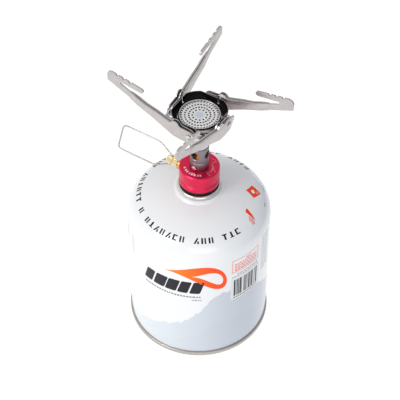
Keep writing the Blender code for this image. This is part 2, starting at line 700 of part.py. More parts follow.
def bar_outline():
    """The channel's side, from the pivot to where it closes into the blade."""
    pivot_end = arc((1.1, -0.3), PIVOT_ROUND, 90, 270, 10)
    lower = [(6.9, -5.7), (12.6, -4.9), (29.8, 4.2), (BAR_END, lower_edge(BAR_END) - 0.4)]
    upper = [
        (BAR_END, lower_edge(BAR_END) + 5.9), (35.5, 12.8), (26.6, 10.4), (15.2, 6.4),
        (13.5, 8.5), (11.2, 9.4), (9.0, 8.4), (7.3, 5.6)]
    return pivot_end + lower + upper


def blade_outline():
    """The doubled sheet outside the channel, with the toothed support."""
    low = lower_edge(ARM_REACH)
    top = low + 8.8
    start = ARM_REACH - 3.7 - TOOTH_EDGE
    rise = TOOTH_RISE / TOOTH_EDGE
    inner_end = arc((start + 1.5, top - TOOTH_RISE - 2.0), 2.1, 260, 105, 5)
    teeth = []
    half = NOTCH_WIDTH / 2
    for back in NOTCHES_IN:
        x = ARM_REACH - back
        y = top - rise * (ARM_REACH - 3.7 - x)
        teeth += [(x - half, y - rise * half), (x - half * 0.5, y - NOTCH_DEPTH),
                  (x + half * 0.5, y - NOTCH_DEPTH), (x + half, y + rise * half)]
    tip = [(ARM_REACH - 3.7, top), (ARM_REACH - 1.1, top - 1.0), (ARM_REACH, top - 3.2),
           (ARM_REACH - 0.2, low - 0.1)]
    inner = BAR_END - 5.0
    foot = [(inner, lower_edge(inner) - 0.1), (inner, lower_edge(inner) + 5.5)]
    root = [(ARM_REACH - 11.9, low), (ARM_REACH - 10.7, low + 0.9), (ARM_REACH - 11.3, low + 2.5)]
    return inner_end + teeth + tip + foot + root


def arm_mesh():
    """One pot support about its pivot: a channel, open at the top, that closes into a blade."""
    arm = outline("arm", bar_outline(), ARM_WIDTH, STAINLESS)
    floor = 1.0
    end = BAR_END - 2.0
    channel = [
        (-20, -15), (10.3, -15), (10.3, -4.6), (12.6, -4.9 + floor), (29.8, 4.2 + floor),
        (end, lower_edge(end) + floor), (end, 40), (-20, 40)]
    combine(arm, outline("channel", channel, ARM_WIDTH - 2 * ARM_WEB, cutter=True))
    half = ARM_WIDTH / 2
    slim = BLADE_THICKNESS / 2 + 0.15
    taper = [(BAR_END - 9, half + 0.2), (BAR_END + 5, half + 3), (BAR_END + 5, slim),
             (BAR_END - 0.5, slim)]
    lay_flat = Matrix.Rotation(math.radians(90), 4, "X")
    for side in (-1, 1):
        wedge = outline("wedge", [(x, side * across) for x, across in taper], 80, cutter=True)
        combine(arm, place(wedge, lay_flat))
    combine(arm, outline("blade", blade_outline(), BLADE_THICKNESS, cutter=True), "UNION")
    return combine(arm, rod("rivet_hole", RIVET_RADIUS + RUN, -4, 4, cutter=True))


def make_arms():
    pattern = arm_mesh()
    mesh = pattern.data
    bpy.data.objects.remove(pattern)
    side = ARM_WIDTH / 2 + GAP
    rivet = [
        (0, side + RIVET_FOOT_HEIGHT), (RIVET_HEAD, side + RIVET_FOOT_HEIGHT), (RIVET_HEAD, side),
        (RIVET_RADIUS, side), (RIVET_RADIUS, -side), (RIVET_HEAD, -side),
        (RIVET_HEAD - 0.5, -side - RIVET_HEAD_HEIGHT), (0, -side - RIVET_HEAD_HEIGHT)]
    for i, name in enumerate(ARM_NAMES):
        place(link(bpy.data.objects.new("arm_" + name, mesh)), arm_frame(i))
        place(turned("rivet_" + name, rivet, SMALL_SIDES, STEEL), arm_frame(i))


# ---------------------------------------------------------------- valve

def make_valve():
    frame = valve_frame()
    inner = SPINDLE_RADIUS + RUN
    start = CORE_RADIUS + GAP + 0.2
    flange = COLLAR_RADIUS + GAP
    recess_end = SPINDLE_SEAT + ORING_SECTION + SPINDLE_TRAVEL + GAP
    gland = [
        (GLAND_RADIUS, start), (SPINDLE_WAY, start), (SPINDLE_WAY, recess_end), (inner, recess_end),
        (inner, GLAND_END), (GLAND_RADIUS + 0.4, GLAND_END), (GLAND_RADIUS + 0.4, flange),
        (GLAND_RADIUS, flange)]
    place(turned("gland_nut", gland, SMALL_SIDES, ORANGE_BRASS, closed=True), frame)

    seat = SPINDLE_SEAT
    spindle = [
        (0, SPINDLE_END), (SPINDLE_RADIUS - 0.3, SPINDLE_END), (SPINDLE_RADIUS, SPINDLE_END - 0.3),
        (SPINDLE_RADIUS, seat + 0.6), (SPINDLE_RADIUS - 0.5, seat + 0.6),
        (SPINDLE_RADIUS - 0.5, seat - 0.6), (SPINDLE_RADIUS, seat - 0.6),
        (SPINDLE_RADIUS, SPINDLE_START), (0.55, SPINDLE_START - 0.4), (0.45, 1.6), (0, 1.0)]
    place(turned("valve_spindle", spindle, SMALL_SIDES, STEEL), frame)
    oring = ring(
        "spindle_oring", SPINDLE_RADIUS + 0.15, ORING_SECTION, seat, RUBBER, SMALL_SIDES, 6)
    place(oring, frame)

    hub = block(
        "valve_hub", (-HUB_HALF_WIDTH, -HUB_HALF_DEPTH, HUB_START),
        (HUB_HALF_WIDTH, HUB_HALF_DEPTH, HUB_END), BRASS)
    bevelled(hub, 0.5, 2)
    bore = rod("hub_bore", SPINDLE_RADIUS + GAP, HUB_START - 2, SPINDLE_END + GAP, cutter=True)
    combine(hub, bore)
    across = Matrix.Translation((0, 0, HANDLE_PIVOT * MM))
    across = across @ Matrix.Rotation(math.radians(90), 4, "Y")
    wire_way = rod("wire_way", WIRE_RADIUS + RUN, -10, 10, 12, cutter=True)
    combine(hub, place(wire_way, across))
    screw_at = Matrix.Translation((0, 0, (HUB_START + HUB_SCREW_IN) * MM))
    screw_at = screw_at @ Matrix.Rotation(math.radians(-90), 4, "X")
    combine(hub, place(rod("screw_way", 1.0, 0.5, 6, 12, cutter=True), screw_at))
    place(hub, frame)
    face = HUB_HALF_DEPTH
    screw = [(0, face + 0.1), (0.55, face + 0.1), (0.7, face - 0.1),
             (0.7, SPINDLE_RADIUS + GAP), (0, SPINDLE_RADIUS + GAP)]
    place(turned("hub_screw", screw, 12, STEEL), frame @ screw_at)


def handle_points():
    """Half of the wire, from inside the hub to the middle of the far end (width, length)."""
    corner = WIRE_CORNER
    points = [(1.0, 0.0), (WIRE_NARROW - 0.7, 0.0)]
    points += arc((WIRE_NARROW - 0.7, 0.7), 0.7, -60, 0, 2)
    points += [(WIRE_NARROW + 0.2, 2.0), (WIRE_WIDE - 1.2, WIRE_SHOULDER - 1.6)]
    points += [(WIRE_WIDE - 0.3, WIRE_SHOULDER), (WIRE_WIDE, WIRE_SHOULDER + 2.0)]
    points += arc((WIRE_WIDE - corner, WIRE_LENGTH - corner), corner, 0, 90, 4)
    return points


def make_handle():
    half = handle_points()
    side = [(width, 0.0, length) for width, length in half]
    other = [(-width, 0.0, length) for width, length in half]
    handle = wire("wire_handle", side + other[::-1], WIRE_RADIUS, WIRE_STEEL, 1)
    place(handle, valve_frame() @ Matrix.Translation((0, 0, HANDLE_PIVOT * MM)))
    smooth(handle, 60)


clear_scene()
PARTS = new_collection("camping_stove")
CUTTERS = new_collection("cutters")
PAINT = material("white_enamel", (0.86, 0.88, 0.90), 0.0, 0.25)
SEAM_STEEL = material("tinned_steel", (0.62, 0.61, 0.59), 1.0, 0.35)
NYLON = material("natural_nylon", (0.78, 0.76, 0.70), 0.0, 0.5)
RUBBER = material("black_rubber", (0.015, 0.015, 0.016), 0.0, 0.6)
SPRING_STEEL = material("spring_steel", (0.55, 0.55, 0.56), 1.0, 0.3)
BRASS = material("bright_brass", (0.85, 0.62, 0.25), 1.0, 0.25)
ORANGE_BRASS = material("warm_brass", (0.85, 0.42, 0.12), 1.0, 0.3)
STEEL = material("turned_steel", (0.60, 0.60, 0.62), 1.0, 0.3)
SINTERED = material("sintered_bronze", (0.50, 0.35, 0.20), 1.0, 0.7)
ANODISED = material("red_anodised", (0.58, 0.01, 0.05), 0.6, 0.3)
GUNMETAL = material("gunmetal", (0.22, 0.19, 0.21), 1.0, 0.35)
SATIN = material("satin_steel", (0.66, 0.65, 0.66), 1.0, 0.4)
MIRROR_STEEL = material("polished_steel", (0.35, 0.35, 0.36), 1.0, 0.1)
STAINLESS = material("stainless_sheet", (0.55, 0.52, 0.50), 1.0, 0.35)
WIRE_STEEL = material("bright_wire", (0.70, 0.62, 0.50), 1.0, 0.3)

make_canister()
make_collar()
make_core()
make_seal_ring()
make_mixer_tube()
make_burner()
make_bowl()
make_bracket()
make_arms()
make_valve()
make_handle()
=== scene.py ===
"""Camping stove: finished pieces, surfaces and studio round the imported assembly.

Every piece is built in millimetres in its own frame, then placed and scaled to metres.
"""
import json
import math
import random

import bmesh
import bpy
import numpy as np
from mathutils import Matrix, Vector


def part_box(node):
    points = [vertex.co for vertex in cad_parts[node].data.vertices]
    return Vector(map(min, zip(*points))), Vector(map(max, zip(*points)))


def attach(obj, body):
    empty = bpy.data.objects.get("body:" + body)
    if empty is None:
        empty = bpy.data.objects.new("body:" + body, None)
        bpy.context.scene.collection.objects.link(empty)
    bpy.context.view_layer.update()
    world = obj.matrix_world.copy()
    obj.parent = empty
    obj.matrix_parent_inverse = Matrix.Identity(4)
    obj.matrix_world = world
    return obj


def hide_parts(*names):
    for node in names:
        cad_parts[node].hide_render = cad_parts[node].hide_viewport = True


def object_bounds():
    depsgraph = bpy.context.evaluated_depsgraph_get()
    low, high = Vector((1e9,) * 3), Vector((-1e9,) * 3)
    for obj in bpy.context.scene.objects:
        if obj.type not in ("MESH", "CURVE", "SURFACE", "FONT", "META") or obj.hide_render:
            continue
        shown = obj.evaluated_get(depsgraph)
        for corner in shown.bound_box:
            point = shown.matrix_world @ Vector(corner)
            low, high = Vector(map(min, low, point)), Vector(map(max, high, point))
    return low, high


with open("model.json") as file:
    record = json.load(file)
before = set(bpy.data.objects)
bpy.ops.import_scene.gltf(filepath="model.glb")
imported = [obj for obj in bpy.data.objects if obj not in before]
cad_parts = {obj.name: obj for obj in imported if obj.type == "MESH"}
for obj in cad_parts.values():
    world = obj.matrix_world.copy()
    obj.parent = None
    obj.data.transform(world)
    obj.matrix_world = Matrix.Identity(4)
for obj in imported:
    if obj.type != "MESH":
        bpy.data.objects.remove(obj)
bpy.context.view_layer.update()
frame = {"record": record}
BODY_OF = {node: body for body, nodes in frame["record"]["behaviour"]["bodies"].items()
           for node in nodes}


def low(node):
    """Lowest height of a node, in millimetres."""
    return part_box(node)[0].z * 1000


def high(node):
    """Greatest height of a node, in millimetres."""
    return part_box(node)[1].z * 1000


def half_width(node):
    return (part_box(node)[1].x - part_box(node)[0].x) * 500


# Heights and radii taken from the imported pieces
SHELL_TOP = high("can_shell")
CAN_RADIUS = half_width("can_shell")
SEAM_RADIUS = half_width("can_base")
SEAM_TOP = low("can_shell") - 0.3
BASE_RISE = high("can_base")
BOSS_TOP = high("can_valve_cup")
POPPET_TOP = high("can_valve_poppet")
POPPET_LOW = low("can_valve_poppet")
HOUSING_TOP = high("can_valve_housing")
HOUSING_LOW = low("can_valve_housing")
COLLAR_LOW = low("base_collar")
COLLAR_TOP = high("base_collar")
COLLAR_RADIUS = half_width("base_collar")
SPIGOT_TOP = high("valve_core")
CORE_LOW = low("valve_core")
TUBE_TOP = high("mixer_tube")
TUBE_RADIUS = half_width("mixer_tube")
NECK_TOP = high("burner_neck")
LIP_TOP = high("burner_rim")
LIP_RADIUS = half_width("burner_rim")
PLATE_TOP = high("flame_plate")
SCREEN_TOP = high("diffuser_screen")
BOWL_LOW = low("burner_bowl")
BOWL_TOP = high("burner_bowl")
BRACKET_TOP = BOWL_LOW - 1.2
BRACKET_LOW = BRACKET_TOP - 1.0

# Canister
KNUCKLE = 19.5
WALL_TOP = 111.2
CROWN = 99.2
KNUCKLE_COSINE = (CAN_RADIUS - KNUCKLE) / (CROWN - KNUCKLE)
CROWN_CENTRE = WALL_TOP - (CROWN - KNUCKLE) * math.sqrt(1 - KNUCKLE_COSINE ** 2)
BEAD_RADIUS = 16.6
BEAD_SECTION = 1.6
BEAD_Z = SHELL_TOP + BEAD_SECTION + 0.2
MOUTH = BEAD_RADIUS - 2.0
BOSS_RADIUS = 5.25
BOSS_BORE = 3.3
THREAD_PITCH = 0.9071

# Stove
AIR_HOLE = 3.4
AIR_HOLE_Z = COLLAR_TOP + 14.4
TUBE_SCREW_AZIMUTH = -122.0
NECK_RIM = 15.0
BOWL_RADIUS = LIP_RADIUS + 4.7
BOWL_FLAT = BOWL_RADIUS - 2.4
ARM_AZIMUTH = 148.5
ARM_NAMES = ("left", "front", "right", "back")
ARM_WIDTH = 3.2
ARM_REACH = 67.2
ARM_MIDDLE = BOWL_FLAT + 0.9 + ARM_WIDTH / 2
BAR_END = 49.3
PIVOT_BACK = 4.3
PIVOT_Z = BOWL_LOW - 0.4
HOLE_RINGS = ((5.24, 12), (7.74, 24), (10.5, 30), (13.1, 38))
VALVE_AZIMUTH = 147.5
VALVE_Z = COLLAR_LOW + 7.0
VALVE_TILT = 27.9
GLAND_END = 17.4
HUB_START = GLAND_END + 1.0
HUB_END = HUB_START + 9.2
HANDLE_PIVOT = HUB_END - 3.5
WIRE_RADIUS = 0.55
SPINDLE_RADIUS = 1.7

FINE = 192
MEDIUM = 96
SMALL = 40


# ------------------------------------------------------------ shader sums

class Value:
    """A number in a node tree that can be used in sums like any other."""

    def __init__(self, tree, source):
        self.tree = tree
        self.source = source

    def math(self, operation, *others):
        node = self.tree.nodes.new("ShaderNodeMath")
        node.operation = operation
        for socket, value in zip(node.inputs, (self, *others)):
            feed(self.tree, socket, value)
        return Value(self.tree, node.outputs[0])

    def __add__(self, other):
        return self.math("ADD", other)

    def __sub__(self, other):
        return self.math("SUBTRACT", other)

    def __mul__(self, other):
        return self.math("MULTIPLY", other)

    def __truediv__(self, other):
        return self.math("DIVIDE", other)

    def __radd__(self, other):
        return Value(self.tree, other).math("ADD", self)

    def __rsub__(self, other):
        return Value(self.tree, other).math("SUBTRACT", self)

    def __rmul__(self, other):
        return Value(self.tree, other).math("MULTIPLY", self)

    def __rtruediv__(self, other):
        return Value(self.tree, other).math("DIVIDE", self)

    def clamped(self):
        return self.math("MAXIMUM", 0.0).math("MINIMUM", 1.0)

    def step(self, edge, softness):
        """0 below the edge and 1 above it, with a soft change."""
        return ((self - edge) / softness + 0.5).clamped()


def feed(tree, socket, value):
    if isinstance(value, Value):
        value = value.source
    if isinstance(value, bpy.types.NodeSocket):
        tree.links.new(value, socket)
    else:
        socket.default_value = value


class Look:
    """A material with a Principled shader, whose nodes read each piece's own local place."""

    def __init__(self, name, colour, metallic, roughness, coat=0.0):
        self.material = bpy.data.materials.new(name)
        self.material.use_nodes = True
        self.tree = self.material.node_tree
        self.shader = self.tree.nodes["Principled BSDF"]
        self.colour = colour
        self.roughness = roughness
        self.shader.inputs["Base Color"].default_value = (*colour, 1.0)
        self.shader.inputs["Metallic"].default_value = metallic
        self.shader.inputs["Roughness"].default_value = roughness
        self.shader.inputs["Coat Weight"].default_value = coat
        self.shader.inputs["Coat Roughness"].default_value = 0.06
        place = self.node("ShaderNodeAttribute", {"attribute_name": "local"})
        self.local = place.outputs["Vector"]
        parts = self.node("ShaderNodeSeparateXYZ", {}, Vector=self.local)
        self.x = Value(self.tree, parts.outputs["X"])
        self.y = Value(self.tree, parts.outputs["Y"])
        self.z = Value(self.tree, parts.outputs["Z"])

    def node(self, kind, settings, **inputs):
        made = self.tree.nodes.new(kind)
        for name, value in settings.items():
            setattr(made, name, value)
        for name, value in inputs.items():
            feed(self.tree, made.inputs[name], value)
        return made

    def radius(self):
        return (self.x * self.x + self.y * self.y).math("SQRT")

    def azimuth(self):
        return self.y.math("ARCTAN2", self.x) * (180 / math.pi)

    def vector(self, x, y, z):
        return self.node("ShaderNodeCombineXYZ", {}, X=x, Y=y, Z=z).outputs[0]

    def stretched(self, x, y, z):
        """The local place with each axis scaled, for grain along one direction."""
        return self.vector(self.x * x, self.y * y, self.z * z)

    def turned_place(self, across, along):
        """A place that changes quickly across a lathe's cut and slowly round it."""
        return self.vector(self.radius() * across, self.z * across, self.azimuth() * along)

    def noise(self, scale, place=None, detail=2.0, roughness=0.5):
        place = self.local if place is None else place
        made = self.node("ShaderNodeTexNoise", {}, Vector=place, Scale=scale, Detail=detail,
                         Roughness=roughness)
        return Value(self.tree, made.outputs[0])

    def spots(self, scale, size):
        """1 in small scattered spots and 0 elsewhere."""
        made = self.node("ShaderNodeTexVoronoi", {}, Vector=self.local, Scale=scale)
        return 1.0 - Value(self.tree, made.outputs["Distance"]).step(size, size * 0.5)

    def mix(self, share, first, second):
        """A colour between two others, each a triple or a socket."""
        node = self.node("ShaderNodeMix", {"data_type": "RGBA"})
        feed(self.tree, node.inputs[0], share)
        for socket, colour in ((node.inputs[6], first), (node.inputs[7], second)):
            feed(self.tree, socket, (*colour, 1.0) if isinstance(colour, tuple) else colour)
        return node.outputs[2]

    def shade(self, low_share, high_share, share):
        """The look's own colour between a darker and a lighter share of itself."""
        dark = tuple(value * low_share for value in self.colour)
        light = tuple(min(1.0, value * high_share) for value in self.colour)
        return self.mix(share, dark, light)

    def set(self, name, value):
        feed(self.tree, self.shader.inputs[name], value)

    def bump(self, height, distance, strength=1.0):
        """Relief in millimetres of depth."""
        node = self.node("ShaderNodeBump", {}, Height=height, Strength=strength,
                         Distance=distance * 0.001)
        self.set("Normal", node.outputs[0])


def metal(name, colour, roughness, grain="turned", relief=0.004, metallic=1.0):
    """Worked metal: grain, uneven tone, faint marks and a varying polish."""
    look = Look(name, colour, metallic, roughness)
    if grain == "turned":
        lines = look.noise(1.0, look.turned_place(9.0, 0.02), 3.0, 0.6)
    else:
        lines = look.noise(5.0, None, 3.0, 0.6)
    clouds = look.noise(0.35, None, 3.0)
    marks = look.spots(1.1, 0.035)
    share = (lines * 0.55 + clouds * 0.45).step(0.5, 0.5)
    look.set("Base Color", look.shade(0.84, 1.1, share))
    look.set("Roughness", look.roughness - 0.05 + lines * 0.12 + marks * 0.1 + clouds * 0.03)
    look.bump(lines + clouds * 0.4 - marks * 0.3, relief)
    return look


# Heights of the printed ridge, as (share of a turn, height in decimetres)
RIDGE = ((0.0, 0.20), (0.035, 0.26), (0.07, 0.17), (0.115, 0.24), (0.175, 0.34), (0.21, 0.40),
         (0.255, 0.55), (0.274, 0.68), (0.305, 0.745), (0.325, 0.755), (0.37, 0.67),
         (0.414, 0.60), (0.464, 0.47), (0.52, 0.55), (0.58, 0.34), (0.65, 0.47), (0.73, 0.30),
         (0.81, 0.42), (0.9, 0.22), (1.0, 0.20))


def enamel():
    """White enamel with a printed mountain ridge in pale blue-grey round the lower half, the ridge painted
    darker towards the right side as painted shade.
    """
    look = Look("white_enamel", (0.80, 0.815, 0.835), 0.0, 0.24, 0.5)
    azimuth = look.azimuth()
    peaks = look.node("ShaderNodeFloatCurve", {}, Value=azimuth / 360.0 + 0.5)
    curve = peaks.mapping.curves[0]
    curve.points[0].location = RIDGE[0]
    curve.points[-1].location = RIDGE[-1]
    for x, y in RIDGE[1:-1]:
        curve.points.new(x, y)
    for point in curve.points:
        point.handle_type = "VECTOR"
    peaks.mapping.update()
    around = look.vector(azimuth * 0.9424, 0.0, 0.0)
    crags = (look.noise(0.2, around, 5.0, 0.7) - 0.5) * 15.0
    ridge = Value(look.tree, peaks.outputs[0]) * 100.0 + crags
    below = (ridge - look.z).step(0.0, 0.3)
    second = ridge * 0.62 + (look.noise(0.05, around, 3.0) - 0.5) * 26.0 - 6.0
    deeper = (second - look.z).step(0.0, 0.3)
    # Painted shade: both ridge colours are mixed darker from the left side to the right side, where the
    # can falls in shade.
    side = ((azimuth + 150.0) / 110.0).clamped()
    tint = look.mix(side, (0.70, 0.755, 0.80), (0.47, 0.515, 0.60))
    shade = look.mix(side, (0.685, 0.74, 0.79), (0.455, 0.50, 0.585))
    cloud = look.noise(0.03, None, 3.0)
    plain = look.shade(0.97, 1.03, cloud)
    painted = look.mix(below, plain, look.mix(deeper, tint, shade))
    dust = look.spots(0.55, 0.022) * look.noise(0.08, None).step(0.55, 0.1)
    look.set("Base Color", look.mix(dust * 0.35, painted, (0.42, 0.43, 0.45)))
    peel = look.noise(1.3, None, 2.0)
    fine = look.noise(6.0, None, 2.0)
    look.set("Roughness", 0.2 + peel * 0.07 + dust * 0.2)
    look.bump(peel * 0.8 + fine * 0.2, 0.004)
    return look


def rubber():
    look = Look("moulded_rubber", (0.014, 0.014, 0.016), 0.0, 0.7)
    look.shader.inputs["Specular IOR Level"].default_value = 0.2
    grain = look.noise(6.0, None, 4.0, 0.7)
    dust = look.noise(0.8, None, 3.0).step(0.62, 0.2)
    look.set("Base Color", look.mix(dust * 0.4, (0.012, 0.012, 0.014), (0.05, 0.048, 0.046)))
    look.set("Roughness", 0.6 + grain * 0.2)
    look.bump(grain, 0.02)
    return look


def anodised():
    """Crimson anodised aluminium, turned on a lathe."""
    look = Look("crimson_anodised", (0.62, 0.006, 0.062), 0.72, 0.3)
    lines = look.noise(1.0, look.turned_place(14.0, 0.015), 3.0, 0.6)
    clouds = look.noise(0.5, None, 3.0)
    wear = look.spots(0.9, 0.03)
    tone = look.mix((lines * 0.6 + clouds * 0.4).step(0.5, 0.6), (0.64, 0.003, 0.045),
                    (0.88, 0.012, 0.095))
    look.set("Base Color", look.mix(wear * 0.25, tone, (0.85, 0.45, 0.5)))
    look.set("Roughness", 0.25 + lines * 0.14)
    look.bump(lines, 0.006)
    look.set("Coat Weight", 0.25)
    return look


def flame_steel():
    """The flame plate's satin steel, with a faint blue heat tint in the middle."""
    look = Look("heat_tinted_steel", (0.93, 0.92, 0.925), 0.75, 0.45)
    radius = look.radius()
    heat = 1.0 - radius.step(3.2, 2.2)
    lines = look.noise(1.0, look.turned_place(10.0, 0.02), 3.0, 0.6)
    clouds = look.noise(0.6, None, 3.0)
    tone = look.shade(0.86, 1.12, (lines * 0.5 + clouds * 0.5).step(0.5, 0.5))
    warm = radius.step(12.5, 4.0) * 0.3 * clouds
    tone = look.mix(heat * 0.75, tone, (0.60, 0.66, 0.80))
    look.set("Base Color", look.mix(warm, tone, (0.74, 0.66, 0.58)))
    look.set("Roughness", 0.36 + lines * 0.12 + heat * 0.05)
    look.bump(lines, 0.004)
    return look


def painted_dark_black():
    """Black standing in for light: painted dark reflection inside the polished bowl and on the rim's outer
    slope, painted shade in the flame plate's holes and on the screen below, with a few lighter worn
    patches.
    """
    look = Look("black_painted_reflection_and_shade", (0.004, 0.004, 0.005), 0.0, 0.5)
    clouds = look.noise(0.6, None, 4.0, 0.6)
    fine = look.noise(4.0, None, 3.0)
    worn = look.noise(2.2, None, 5.0, 0.7).step(0.78, 0.05)
    look.set("Base Color", look.mix(worn * 0.5, (0.003, 0.003, 0.004), (0.06, 0.055, 0.052)))
    look.set("Roughness", 0.42 + clouds * 0.14)
    look.shader.inputs["Specular IOR Level"].default_value = 0.1
    look.bump(fine * 0.4 + clouds, 0.012)
    return look


def arm_steel():
    """Pressed stainless sheet: grain along the arm, warm heat tint towards the burner."""
    look = Look("pressed_stainless", (0.57, 0.54, 0.53), 1.0, 0.33)
    grain = look.noise(1.0, look.stretched(0.3, 8.0, 8.0), 3.0, 0.6)
    clouds = look.noise(0.16, None, 3.0)
    marks = look.spots(0.9, 0.04)
    tone = look.shade(0.82, 1.12, (grain * 0.5 + clouds * 0.5).step(0.5, 0.6))
    heat = (1.0 - look.x.step(14.0, 14.0)) * look.noise(0.25, None, 3.0)
    look.set("Base Color", look.mix(heat * 0.35, tone, (0.46, 0.40, 0.37)))
    look.set("Roughness", 0.27 + grain * 0.13 + clouds * 0.06 + marks * 0.1)
    look.bump(grain + clouds * 0.3 - marks * 0.4, 0.005)
    return look


def ink(name, colour, second=None, span=None):
    """Printed ink, slightly uneven, turning to a second colour across a span of azimuth."""
    look = Look(name, colour, 0.0, 0.32)
    look.shader.inputs["Specular IOR Level"].default_value = 0.2
    clouds = look.noise(1.6, None, 4.0, 0.6)
    fine = look.noise(9.0, None, 2.0)
    tone = look.shade(0.93, 1.05, clouds)
    if second is not None:
        start, end = span
        share = ((look.azimuth() - start) / (end - start)).clamped()
        tone = look.mix(share, tone, second)
    look.set("Base Color", tone)
    look.set("Roughness", 0.28 + fine * 0.12)
    look.bump(fine, 0.003)
    return look


def plastic(name, colour, roughness):
    look = Look(name, colour, 0.0, roughness)
    clouds = look.noise(0.9, None, 3.0)
    fine = look.noise(5.0, None, 3.0)
    look.set("Base Color", look.shade(0.9, 1.06, clouds))
    look.set("Roughness", roughness - 0.05 + fine * 0.12)
    look.bump(fine, 0.006)
    return look


PAINT = enamel()
SEAM = metal("tinned_steel", (0.50, 0.47, 0.44), 0.32)
CRIMP = metal("crimped_tinplate", (0.74, 0.72, 0.69), 0.26)
RUBBER = rubber()
NYLON = plastic("natural_nylon", (0.78, 0.76, 0.70), 0.45)
BRASS = metal("bright_brass", (0.97, 0.76, 0.44), 0.24, "cast", 0.003)
# Brass for the gas jet with a painted orange glow: the emission makes the jet show bright inside the
# shadowed tube, though it is no lamp.
GLOWING_JET_BRASS = metal("jet_brass_painted_glow", (1.0, 0.55, 0.08), 0.3, "turned", 0.003)
GLOWING_JET_BRASS.shader.inputs["Emission Color"].default_value = (1.0, 0.32, 0.01, 1.0)
GLOWING_JET_BRASS.shader.inputs["Emission Strength"].default_value = 0.35
WARM_BRASS = metal("warm_brass", (0.90, 0.42, 0.10), 0.27, "turned", 0.003)
STEEL = metal("turned_steel", (0.64, 0.63, 0.63), 0.24)
SPRING = metal("spring_steel", (0.56, 0.56, 0.57), 0.28, "cast")
BRONZE = metal("sintered_bronze", (0.50, 0.35, 0.20), 0.65, "cast", 0.03)
CRIMSON = anodised()
GUNMETAL = metal("gunmetal", (0.275, 0.245, 0.27), 0.34, "turned", 0.004, 0.95)
SATIN = metal("satin_steel", (0.68, 0.665, 0.675), 0.36)
FLAME = flame_steel()
# Black used as painted dark reflection and painted shade, not as a paint the stove has.
PAINTED_DARK_BLACK = painted_dark_black()
MIRROR = metal("polished_steel", (0.34, 0.33, 0.33), 0.12, "turned", 0.002)
STAINLESS = arm_steel()
WIRE = metal("bright_wire", (0.50, 0.46, 0.43), 0.28, "cast", 0.003)
DARK_INK = ink("dark_ink", (0.014, 0.012, 0.019))
GREY_INK = ink("grey_ink", (0.24, 0.25, 0.27))
FAINT_INK = ink("faint_ink", (0.50, 0.52, 0.56))
LABEL_INK = ink("label_ink", (0.74, 0.76, 0.78))
ORANGE_INK = ink("orange_ink", (0.98, 0.24, 0.012), (0.95, 0.075, 0.004), (-118.0, -78.0))
RED_INK = ink("red_ink", (0.92, 0.065, 0.012))
WHITE_INK = ink("white_ink", (0.82, 0.83, 0.84))
SILVER_INK = metal("laser_mark", (0.80, 0.74, 0.76), 0.4, "cast", 0.002, 0.4)


# ------------------------------------------------------------ meshes

def as_object(name, mesh, *looks):
    obj = bpy.data.objects.new(name, mesh)
    bpy.context.scene.collection.objects.link(obj)
    mesh.materials.clear()
    for look in looks:
        mesh.materials.append(look.material)
    return obj


def from_lists(name, points, faces, *looks):
    mesh = bpy.data.meshes.new(name)
    mesh.from_pydata([tuple(p) for p in points], [], faces)
    outward(mesh)
    return as_object(name, mesh, *looks)


def outward(mesh):
    """Welds double points and turns every face outwards."""
    shape = bmesh.new()
    shape.from_mesh(mesh)
    bmesh.ops.remove_doubles(shape, verts=shape.verts, dist=1e-5)
    bmesh.ops.recalc_face_normals(shape, faces=shape.faces)
    if shape.calc_volume(signed=True) < 0:
        bmesh.ops.reverse_faces(shape, faces=shape.faces)
    shape.to_mesh(mesh)
    shape.free()


def rounded(points, radius, closed=False, steps=3, least=14.0):
    """The same line of points with its corners rounded."""
    made = []
    count = len(points)
    for i, point in enumerate(points):
        if not closed and i in (0, count - 1):
            made.append(tuple(point))
            continue
        here = Vector(point)
        back = Vector(points[i - 1]) - here
        on = Vector(points[(i + 1) % count]) - here
        if back.length < 1e-6 or on.length < 1e-6:
            continue
        turn = math.pi - back.angle(on)
        if math.degrees(turn) < least:
            made.append(tuple(point))
            continue
        reach = min(radius * math.tan(turn / 2), back.length * 0.45, on.length * 0.45)
        start = here + back.normalized() * reach
        end = here + on.normalized() * reach
        for k in range(steps + 1):
            t = k / steps
            made.append(tuple(start * (1 - t) ** 2 + here * 2 * t * (1 - t) + end * t * t))
    return made


def arc(centre, radius, start, end, steps):
    points = []
    for i in range(steps + 1):
        angle = math.radians(start + (end - start) * i / steps)
        points.append((centre[0] + radius * math.cos(angle), centre[1] + radius * math.sin(angle)))
    return points


def turned(name, profile, sides, look, closed=False):
    """A turned piece from (radius, height) points, open profiles starting and ending on the axis."""
    points = []
    rings = []
    for radius, height in profile:
        if radius < 1e-6:
            rings.append([len(points)] * sides)
            points.append((0.0, 0.0, height))
            continue
        rings.append(list(range(len(points), len(points) + sides)))
        for j in range(sides):
            angle = math.tau * j / sides
            points.append((radius * math.cos(angle), radius * math.sin(angle), height))
    pairs = list(zip(rings, rings[1:]))
    if closed:
        pairs.append((rings[-1], rings[0]))
    faces = []
    for upper, lower in pairs:
        for j in range(sides):
            k = (j + 1) % sides
            corners = []
            for corner in (upper[j], lower[j], lower[k], upper[k]):
                if corner not in corners:
                    corners.append(corner)
            if len(corners) > 2:
                faces.append(corners)
    return from_lists(name, points, faces, look)


def flat_plate(name, points, thickness, look):
    """A plate from its outline in X and Y, centred on its own plane."""
    curve = bpy.data.curves.new(name, "CURVE")
    curve.dimensions = "2D"
    curve.fill_mode = "BOTH"
    curve.extrude = thickness / 2
    spline = curve.splines.new("POLY")
    spline.points.add(len(points) - 1)
    for place, (x, y) in zip(spline.points, points):
        place.co = (x, y, 0.0, 1.0)
    spline.use_cyclic_u = True
    return from_curve(name, curve, look)


def round_wire(name, points, radius, look, resolution=4):
    curve = bpy.data.curves.new(name, "CURVE")
    curve.dimensions = "3D"
    curve.bevel_depth = radius
    curve.bevel_resolution = resolution
    curve.use_fill_caps = True
    spline = curve.splines.new("POLY")
    spline.points.add(len(points) - 1)
    for place, point in zip(spline.points, points):
        place.co = (*point, 1.0)
    return from_curve(name, curve, look)


